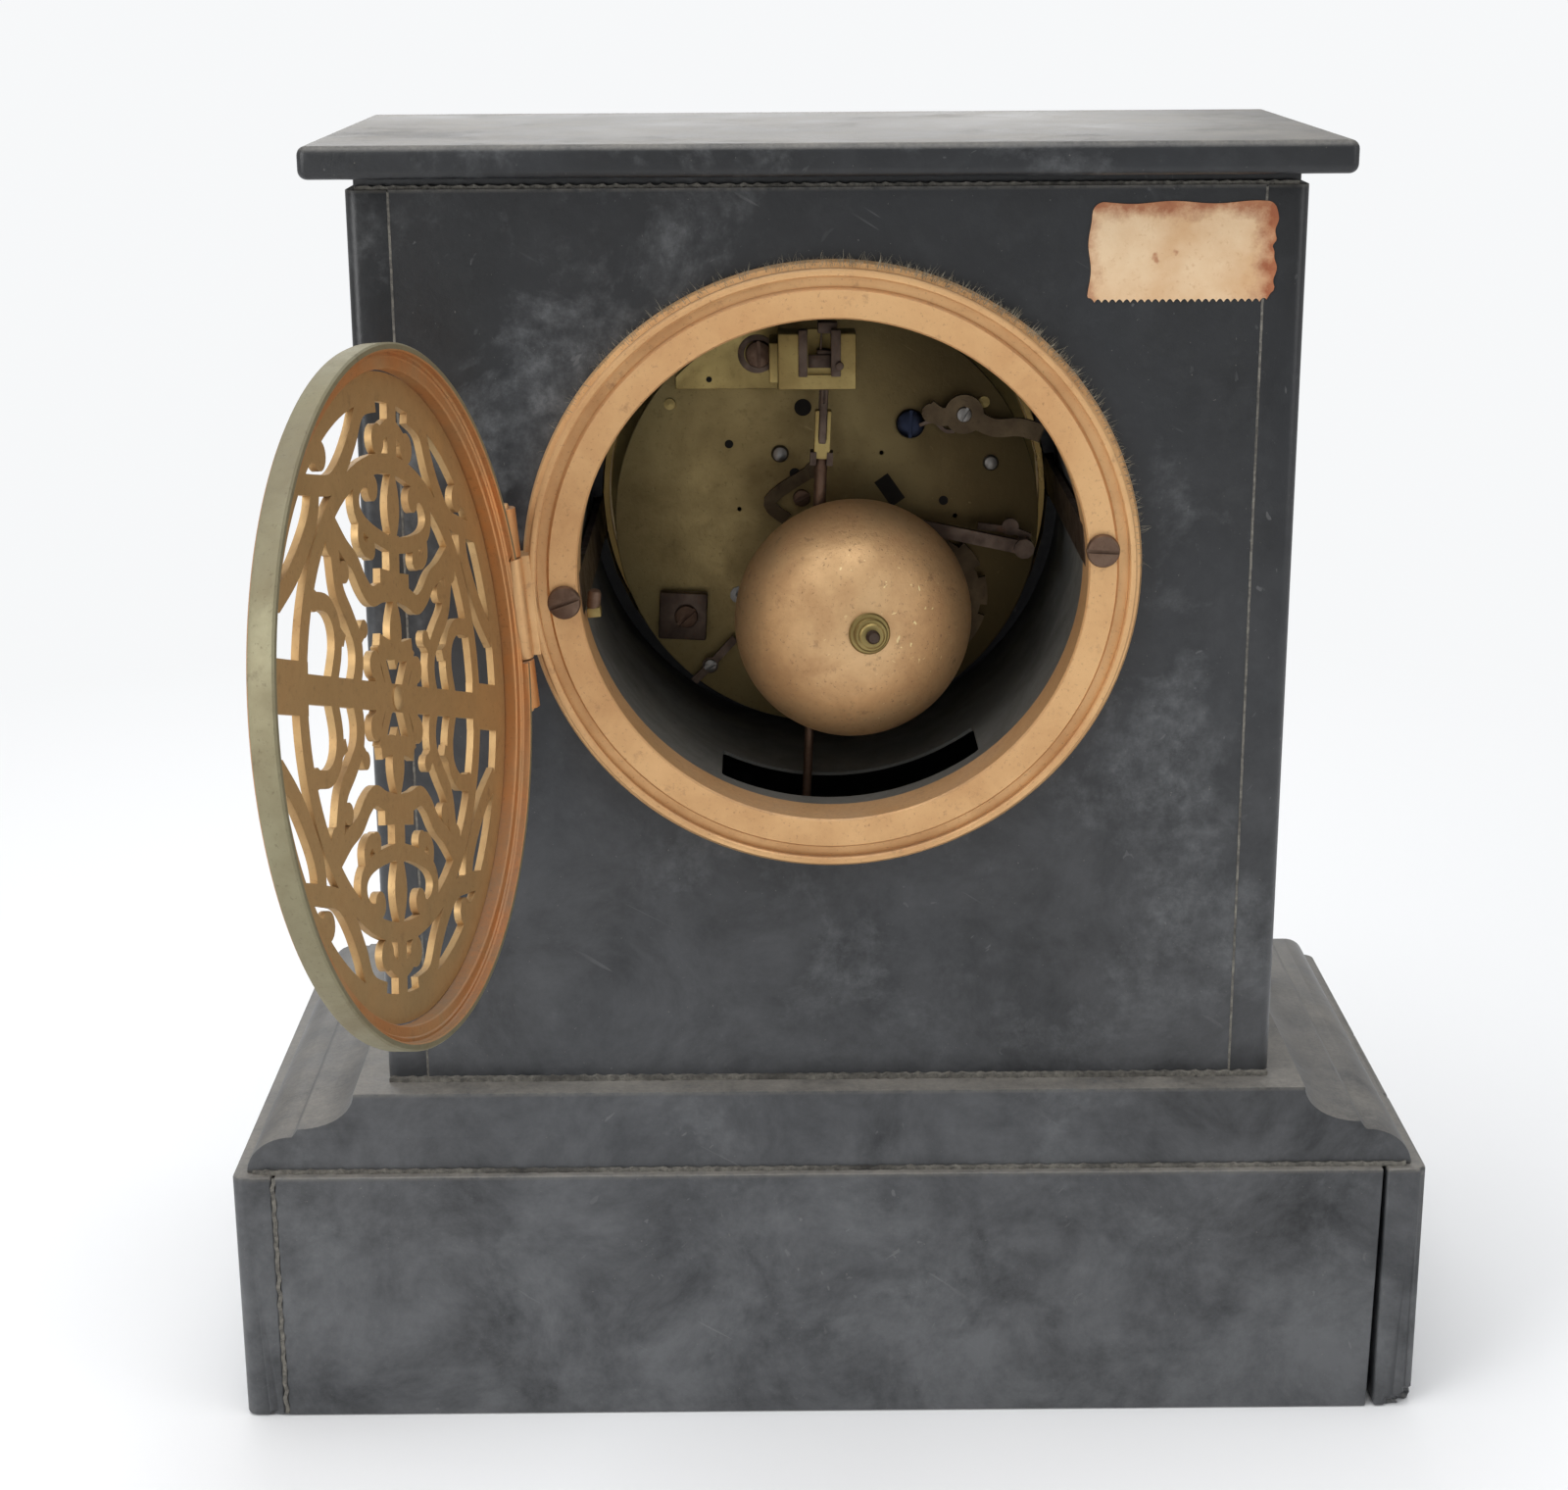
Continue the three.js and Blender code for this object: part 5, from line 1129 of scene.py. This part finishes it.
def bellShape():
    s = bellSpec

    def curve(radius, height, hole):
        last = math.acos(hole / radius)
        turns = [last * i / s["steps"] for i in range(s["steps"] + 1)]
        return [(radius * math.cos(t), height * math.sin(t)) for t in turns]

    outer = curve(s["radius"], s["height"], 1.8)
    inner = curve(s["radius"] - s["wall"], s["height"] - s["wall"], 1.8)
    rim = [(s["radius"] - s["wall"] * 0.5, -0.25)]
    return turnShape([*rim, *outer, *reversed(inner)], 192)


addPiece("bell", bellShape(), "case", bellBrass, bellPlace, ["bell"])
top = bellSpec["height"]
nut = turnShape([
    (1.6, top - 0.1), (5.0, top - 0.15), (5.1, top + 0.5), (4.7, top + 1.0), (4.0, top + 1.1),
    (4.1, top + 1.5), (4.1, top + 2.6), (3.7, top + 3.1), (3.1, top + 3.2), (3.1, top + 4.4),
    (2.7, top + 4.7), (1.6, top + 4.7),
], 64)
addPiece("bellNut", nut, "case", cockBrass, bellPlace, ["bell_nut"])
seat = top - bellSpec["wall"]
shaft = turnShape([
    (0, -27.3), (1.5, -27.3), (1.5, seat - 4), (3.2, seat - 3), (3.2, seat - 0.4), (1.5, seat - 0.3),
    (1.5, top + 4.5), (1.65, top + 4.9), (1.45, top + 5.2), (1.65, top + 5.5), (1.45, top + 5.8),
    (1.65, top + 6.1), (1.45, top + 6.4), (1.2, top + 6.9), (0, top + 7.0),
], 40, closed=False)
addPiece("bellPost", shaft, "case", darkSteel, bellPlace, ["bell_post"])

dress("hammer", darkSteel)
dress("count_wheel", leverBronze)
print("bell built")


# The paper label: a perforated lower edge, worn corners and a slight cockle.
labelSpec = dict(left=-59.3, right=-103.0, top=302, foot=279, notches=26, lift=0.16)


def labelShape():
    s = labelSpec
    form = bmesh.new()
    bmesh.ops.create_grid(form, x_segments=s["notches"] * 10, y_segments=34, size=0.5)

    def corner(gap, radius):
        inside = max(0.0, 1 - max(gap, 0) / radius)
        return radius * (1 - math.sqrt(max(0.0, 1 - inside * inside)))

    for vert in form.verts:
        across, up = vert.co.x + 0.5, vert.co.y + 0.5
        right = s["right"] + 0.5 + 0.35 * math.sin(up * 19) + 1.1 * math.exp(-((up - 0.55) / 0.06) ** 2)
        left = s["left"] - 0.6 + 0.35 * math.sin(up * 9 + 2)
        x = right + (left - right) * across
        top = s["top"] - 0.4 + 0.3 * math.sin(across * 14) - corner(left - x, 3) - corner(x - right, 2.2)
        foot = s["foot"] + 0.75 * abs(math.sin(math.pi * across * s["notches"]))
        foot += corner(x - right, 3.4) + corner(left - x, 1.6)
        z = foot + (top - foot) * up
        cockle = math.sin(x * 0.55 + z * 0.3) * math.sin(z * 0.5 + 1)
        vert.co = (x, 63.68 + s["lift"] * (0.5 + 0.5 * cockle), z)
    grown = bmesh.ops.extrude_face_region(form, geom=form.faces[:])
    raised = [item for item in grown["geom"] if isinstance(item, bmesh.types.BMVert)]
    bmesh.ops.translate(form, vec=(0, 0.14, 0), verts=raised)
    return tidyForm(form)


def paperMaterial():
    s = labelSpec
    material, tree, skin = newMaterial("agedPaper", Roughness=0.85)
    place = objectPlace(tree)
    parts = addNode(tree, "ShaderNodeSeparateXYZ", {0: place}).outputs
    wave = noise(tree, place, 170, 6, 0.65)
    ragged = maths(tree, "MULTIPLY_ADD", wave, 0.010, -0.005)
    gaps = [
        maths(tree, "SUBTRACT", s["left"] * mm, parts["X"]),
        maths(tree, "SUBTRACT", parts["X"], s["right"] * mm),
        maths(tree, "SUBTRACT", s["top"] * mm, parts["Z"]),
    ]
    stains = None
    for gap, reach, strength in zip(gaps, (0.0035, 0.006, 0.0045), (0.6, 1.0, 0.9)):
        wandering = maths(tree, "ADD", gap, ragged)
        stain = maths(tree, "MULTIPLY", ramp(tree, wandering, reach, reach * 0.25), strength)
        stains = stain if stains is None else maths(tree, "MAXIMUM", stains, stain)
    spots = ramp(tree, noise(tree, place, 95, 4, 0.6), 0.655, 0.70)
    stains = maths(tree, "MAXIMUM", stains, maths(tree, "MULTIPLY", spots, 0.7))
    tone = noise(tree, place, 60, 6, 0.6)
    paper = blendColor(tree, ramp(tree, tone, 0.35, 0.68), (0.70, 0.52, 0.33), (0.58, 0.36, 0.19))
    fleck = ramp(tree, noise(tree, place, 900, 3, 0.6), 0.6, 0.75)
    paper = blendColor(tree, maths(tree, "MULTIPLY", fleck, 0.35), paper, (0.42, 0.2, 0.09))
    brown = blendColor(tree, ramp(tree, wave, 0.4, 0.65), (0.30, 0.095, 0.04), (0.42, 0.17, 0.075))
    tree.links.new(blendColor(tree, stains, paper, brown), skin.inputs["Base Color"])
    addBump(tree, skin, noise(tree, place, 700, 6, 0.6), 0.35, 0.0003)
    return material


addPiece(
    "paperLabel", labelShape(), "case", paperMaterial(), nodes=["paper_label"],
    flat=True,
)


# Old mortar squeezed out along the joints, each bead cut along its length and swayed.
def mortarBead(low, high, cuts, seed, sway=1.0):
    form = blockShape(low, high, 0)
    long = max(range(3), key=lambda i: high[i] - low[i])
    runs = [edge for edge in form.edges if abs((edge.verts[0].co - edge.verts[1].co)[long]) > 1]
    bmesh.ops.subdivide_edges(form, edges=runs, cuts=cuts, use_grid_fill=True)
    for vert in form.verts:
        along = vert.co[long]
        for i in range(3):
            if i != long:
                swell = math.sin(along * (1.3 + i * 0.37) + seed + i) * math.sin(along * 0.31 + i)
                ripple = math.sin(along * 4.7 + seed * 2 + i * 1.7)
                vert.co[i] += 0.22 * sway * swell
                vert.co[i] += 0.12 * sway * ripple
    return form


def mortarMaterial():
    material, tree, skin = newMaterial("oldMortar", Roughness=0.95)
    place = objectPlace(tree)
    grit = noise(tree, place, 650, 6, 0.7)
    tone = blendColor(tree, ramp(tree, grit, 0.36, 0.62), (0.19, 0.18, 0.155), (0.085, 0.08, 0.072))
    soil = ramp(tree, noise(tree, place, 60, 5, 0.6), 0.5, 0.7)
    tree.links.new(blendColor(tree, soil, tone, (0.035, 0.033, 0.03)), skin.inputs["Base Color"])
    addBump(tree, skin, grit, 0.8, 0.0006)
    return material


mortar = mortarMaterial()
for name, *shape in (
    ("bodyFoot", (-109.5, 63.3, 86.9), (109.5, 64.9, 88.1), 220, 1),
    ("mouldFoot", (-143.5, 71.8, 65.9), (143.5, 73.0, 66.8), 260, 3),
    ("slabFoot", (-107.5, 61.3, 305.4), (107.5, 62.9, 306.3), 220, 5),
    ("plinthJoint", (137.7, 74.2, 0.6), (138.7, 75.1, 65.6), 60, 8),
    ("body.left", (99.67, 63.1, 88), (100.23, 63.6, 305), 160, 2, 0.22),
    ("body.right", (-100.23, 63.1, 88), (-99.67, 63.6, 305), 160, 2, 0.22),
):
    addPiece(f"mortar.{name}", mortarBead(*shape), "case", mortar)


# Dust and lint caught on the ring's outer edge, thickest on the upper right.
lintSpec = dict(count=1500, length=(1.0, 3.2), width=0.055, reach=69.2, seed=11)


def lintShape():
    s = lintSpec
    dice = random.Random(s["seed"])
    form = bmesh.new()
    for _ in range(s["count"]):
        angle = math.radians(dice.triangular(-100, 62, -38))
        radius = ringSpec["outerR"] - dice.uniform(0.2, 1.6)
        spot = Vector((radius * math.sin(angle), dice.uniform(64.2, 68.8), radius * math.cos(angle)))
        outward = Vector((math.sin(angle), 0, math.cos(angle)))
        length = dice.uniform(*s["length"])
        lean = Vector((dice.uniform(-1, 1), dice.uniform(-0.6, 0.9), dice.uniform(-1, 1)))
        middle = spot + (outward * 0.8 + lean * 0.5) * length * 0.5
        tip = middle + (outward * 0.3 + lean) * length * 0.5
        middle.y = min(middle.y, s["reach"])
        tip.y = min(tip.y, s["reach"])
        side = outward.cross(lean).normalized() * s["width"]
        other = side.cross(outward).normalized() * s["width"]
        foot, waist = (
            [form.verts.new(at + shift) for shift in (side, other, -side)] for at in (spot, middle)
        )
        end = form.verts.new(tip)
        form.faces.new(foot)
        for i in range(3):
            form.faces.new((foot[i], foot[i - 1], waist[i - 1], waist[i]))
            form.faces.new((waist[i], waist[i - 1], end))
    bmesh.ops.recalc_face_normals(form, faces=form.faces)
    return form


def lintMaterial():
    material, tree, skin = newMaterial("ringLint", Roughness=1.0)
    tone = noise(tree, objectPlace(tree), 500, 3, 0.6)
    color = blendColor(tree, ramp(tree, tone, 0.35, 0.65), (0.30, 0.27, 0.2), (0.16, 0.145, 0.11))
    tree.links.new(color, skin.inputs["Base Color"])
    return material


addPiece("ringLint", lintShape(), "case", lintMaterial(), rearPlace, flat=True)
print("label and joints built")

# The front: fixed bezel, hinged glass bezel, dial and hands.
frontSpec = dict(
    collarInner=57.9, collarOuter=59.3, collarEnd=-30.5, seat=-36.8, flangeOuter=68.5, flange=-40.0,
    rimOuter=67, rimInner=57, rimBack=-40.4, face=-50.8, sight=52.5, hingeReach=70, hingeY=-42.5,
    knuckleR=2.2, pinR=0.95, knuckleHalf=8, knuckleEnd=17,
)


def frontBezelShape():
    s = frontSpec
    form = turnShape([
        (s["collarInner"], s["collarEnd"]), (s["collarOuter"], s["collarEnd"]),
        (s["collarOuter"], s["seat"]), (s["flangeOuter"] - 0.3, s["seat"]),
        (s["flangeOuter"], s["seat"] - 0.4), (s["flangeOuter"], s["flange"] + 1.2),
        (s["flangeOuter"] - 0.5, s["flange"] + 0.4), (s["rimOuter"], s["flange"]),
        (s["collarInner"], s["flange"]),
    ], 160)
    half = s["knuckleHalf"]
    leaf = blockShape((s["rimOuter"] + 0.4, s["hingeY"], -half), (s["hingeReach"], s["seat"], half), 0.25)
    knuckle = hingeTube(s["knuckleR"], s["pinR"], -half, half, s["hingeReach"], s["hingeY"])
    return gathered(form, leaf, knuckle)


def glassRimShape():
    s = frontSpec
    back, face = s["rimBack"], s["face"]
    form = turnShape([
        (s["rimInner"], back), (s["rimOuter"] - 0.2, back), (s["rimOuter"], back - 0.3),
        (s["rimOuter"], back - 3.2), (s["rimOuter"] - 0.5, back - 3.7), (s["rimOuter"] - 0.6, back - 5.2),
        (s["rimOuter"] - 1.6, back - 7), (s["rimOuter"] - 3.2, face + 1.6), (s["rimOuter"] - 5, face + 0.8),
        (s["rimInner"] + 2.6, face + 0.1), (s["rimInner"] + 0.5, face), (s["rimInner"] - 0.8, face + 0.35),
        (s["rimInner"] - 2.2, face + 1.0), (s["sight"] + 0.5, face + 0.8), (s["sight"], face + 1.2),
        (s["sight"], face + 1.6), (s["rimInner"], face + 1.6),
    ], 192)
    room = s["knuckleHalf"] + 0.4
    parts = [form]
    for low, high in ((room, s["knuckleEnd"]), (-s["knuckleEnd"], -room)):
        parts.append(hingeTube(s["knuckleR"], s["pinR"], low, high, s["hingeReach"], s["hingeY"]))
        parts.append(blockShape(
            (s["rimOuter"] - 2, s["hingeY"] - 1.2, low),
            (s["hingeReach"] - 1, s["hingeY"] + 1.2, high), 0.25,
        ))
    parts.append(blockShape((-s["rimOuter"] - 3, back - 3, -3), (-s["rimOuter"] + 1, back - 1.4, 3), 0.4))
    return gathered(*parts)


addPiece("frontBezel", frontBezelShape(), "case", bezelBrass, frontPlace, ["front_bezel"])
addPiece(
    "glassBezel", glassRimShape(), "glass_bezel", bezelBrass, frontPlace, ["glass_bezel_frame"],
)
dress("front_hinge_pin", bezelBrass)
glass, glassTree, glassSkin = newMaterial("dialGlass", Transmission_Weight=1.0, IOR=1.45, Roughness=0.0)
smear = ramp(glassTree, noise(glassTree, objectPlace(glassTree), 40, 5, 0.6), 0.4, 0.8, 0.01, 0.06)
glassTree.links.new(smear, glassSkin.inputs["Roughness"])
pane = turnShape(
    [(0, -48.9), (56.2, -48.9), (56.6, -48.5), (56.6, -47.8), (56.2, -47.4), (0, -47.4)], closed=False,
)
addPiece("glassPane", pane, "glass_bezel", glass, frontPlace, ["dial_glass"])


def enamelMaterial():
    material, tree, skin = newMaterial("dialEnamel", Coat_Weight=0.4)
    place = objectPlace(tree)
    tone = ramp(tree, noise(tree, place, 30, 6, 0.6), 0.4, 0.75)
    base = blendColor(tree, tone, (0.80, 0.77, 0.69), (0.68, 0.62, 0.50))
    crack = ramp(tree, noise(tree, place, 500, 3, 0.6), 0.68, 0.75)
    base = blendColor(tree, maths(tree, "MULTIPLY", crack, 0.4), base, (0.3, 0.24, 0.16))
    tree.links.new(base, skin.inputs["Base Color"])
    tree.links.new(ramp(tree, tone, 0, 1, 0.2, 0.35), skin.inputs["Roughness"])
    addBump(tree, skin, tone, 0.05, 0.0004)
    return material


def inkMaterial():
    material, tree, skin = newMaterial("dialInk", Roughness=0.4)
    wear = ramp(tree, noise(tree, objectPlace(tree), 400, 4, 0.6), 0.45, 0.75)
    color = blendColor(tree, wear, (0.008, 0.008, 0.009), (0.03, 0.027, 0.024))
    tree.links.new(color, skin.inputs["Base Color"])
    return material


dialSpec = dict(
    radius=53, front=-41.2, rear=-39.2, numeralRing=41.5, numeralSize=10.5, trackInner=48.2,
    trackOuter=50.4, inkLow=-41.24, inkHigh=-41.16, windingX=23, windingZ=-20,
)


def dialShape():
    s = dialSpec
    form = turnShape([
        (0, s["front"] - 0.1), (46, s["front"]), (52, s["front"] + 0.1), (s["radius"], s["front"] + 0.5),
        (s["radius"], s["rear"]), (0, s["rear"]),
    ], 160, closed=False)
    low, high = s["front"] - 2, s["rear"] + 2
    holes = [discShape(3.2, low, high, 40, 0)]
    for x in (s["windingX"], -s["windingX"]):
        holes.append(slid(discShape(3.4, low, high, 40, 0), x, 0, s["windingZ"]))
    return carved(form, holes)


ink = inkMaterial()
addPiece("dial", dialShape(), "case", enamelMaterial(), frontPlace, ["dial_plate"])
for sign, name in ((1, "going"), (-1, "strike")):
    collet = turnShape([(3.0, -41.25), (4.3, -41.5), (4.6, -41.2), (4.6, -41.0), (3.0, -41.0)], 48)
    collet = slid(collet, sign * dialSpec["windingX"], 0, dialSpec["windingZ"])
    addPiece(f"windingCollet.{name}", collet, "case", bezelBrass, frontPlace)
low, high, inner, outer = (dialSpec[key] for key in ("inkLow", "inkHigh", "trackInner", "trackOuter"))
track = [
    turnShape([(r, low), (r + 0.25, low), (r + 0.25, high), (r, high)], 160) for r in (inner, outer)
]
for minute in range(60):
    wide = 0.55 if minute % 5 == 0 else 0.15
    mark = blockShape((-wide, low, inner), (wide, high, outer + 0.2), 0)
    mark.transform(Matrix.Rotation(math.radians(6 * minute), 4, "Y"))
    track.append(mark)
addPiece("minuteTrack", gathered(*track), "case", ink, frontPlace)


# Plain hour numbers, set upright in their circle as the dial is read from the front.
def numeralShape(label, angle):
    curve = bpy.data.curves.new("numeral", "FONT")
    curve.body = label
    curve.size = dialSpec["numeralSize"]
    curve.align_x = "CENTER"
    curve.align_y = "CENTER"
    curve.extrude = 0.05
    text = bpy.data.objects.new("numeral", curve)
    bpy.context.collection.objects.link(text)
    bpy.context.view_layer.update()
    shaped = text.evaluated_get(bpy.context.evaluated_depsgraph_get())
    form = bmesh.new()
    form.from_mesh(shaped.to_mesh())
    shaped.to_mesh_clear()
    bpy.data.objects.remove(text)
    bpy.data.curves.remove(curve)
    form.transform(Matrix.Rotation(math.pi / 2, 4, "X"))
    reach = dialSpec["numeralRing"]
    return slid(form, reach * math.sin(angle), -41.22, reach * math.cos(angle))


numerals = gathered(*[numeralShape(str(hour), math.radians(30 * hour)) for hour in range(1, 13)])
addPiece("hourNumbers", numerals, "case", ink, frontPlace)
for name in ("minute_hand", "hour_hand", "going_mainspring", "strike_mainspring"):
    dress(name, bluedSteel)
for name in ("cannon_pinion", "going_winding_arbor", "strike_winding_arbor"):
    dress(name, plainSteel)
for name in (
    "front_plate", "pillar_1", "pillar_2", "pillar_3", "pillar_4", "going_barrel", "strike_barrel",
    "intermediate_wheel", "centre_wheel", "third_wheel", "escape_wheel", "pin_wheel", "fly", "minute_wheel",
    "hour_wheel",
):
    dress(name, cockBrass)
print("front built")

# A white room: the light is softer than what the camera sees behind the clock.
tree = world.node_tree
light = tree.nodes["Background"]
light.inputs["Strength"].default_value = 0.55
light.inputs["Color"].default_value = (1, 1, 1, 1)
seen = addNode(tree, "ShaderNodeBackground", {"Color": (0.93, 0.94, 0.95, 1), "Strength": 1.0})
rays = addNode(tree, "ShaderNodeLightPath").outputs
seenBy = maths(tree, "MAXIMUM", rays["Is Camera Ray"], rays["Is Transmission Ray"], clamp=True)
mixed = addNode(tree, "ShaderNodeMixShader", {0: seenBy, 1: light.outputs[0], 2: seen.outputs[0]})
tree.links.new(mixed.outputs[0], tree.nodes["World Output"].inputs["Surface"])

# The floor fades into the background away from the clock.
bpy.ops.mesh.primitive_plane_add(size=8, location=(0, 0, -0.0002))
floor = bpy.context.object
floor.name = "floor"
floorSkin, floorTree, skin = newMaterial("paleFloor", Roughness=0.8)
skin.inputs["Base Color"].default_value = (0.83, 0.84, 0.855, 1)
far = addNode(floorTree, "ShaderNodeVectorMath", {0: objectPlace(floorTree)}, operation="LENGTH")
faded = ramp(floorTree, far.outputs["Value"], 0.22, 0.75)
glow = addNode(floorTree, "ShaderNodeEmission", {"Color": (0.93, 0.94, 0.95, 1), "Strength": 1.0})
rays = addNode(floorTree, "ShaderNodeLightPath").outputs
seenBy = maths(floorTree, "MAXIMUM", rays["Is Camera Ray"], rays["Is Transmission Ray"], clamp=True)
mixed = addNode(floorTree, "ShaderNodeMixShader", {
    0: maths(floorTree, "MULTIPLY", faded, seenBy), 1: skin.outputs[0], 2: glow.outputs[0],
})
floorTree.links.new(mixed.outputs[0], floorTree.nodes["Material Output"].inputs["Surface"])
floor.data.materials.append(floorSkin)
print("stage built")
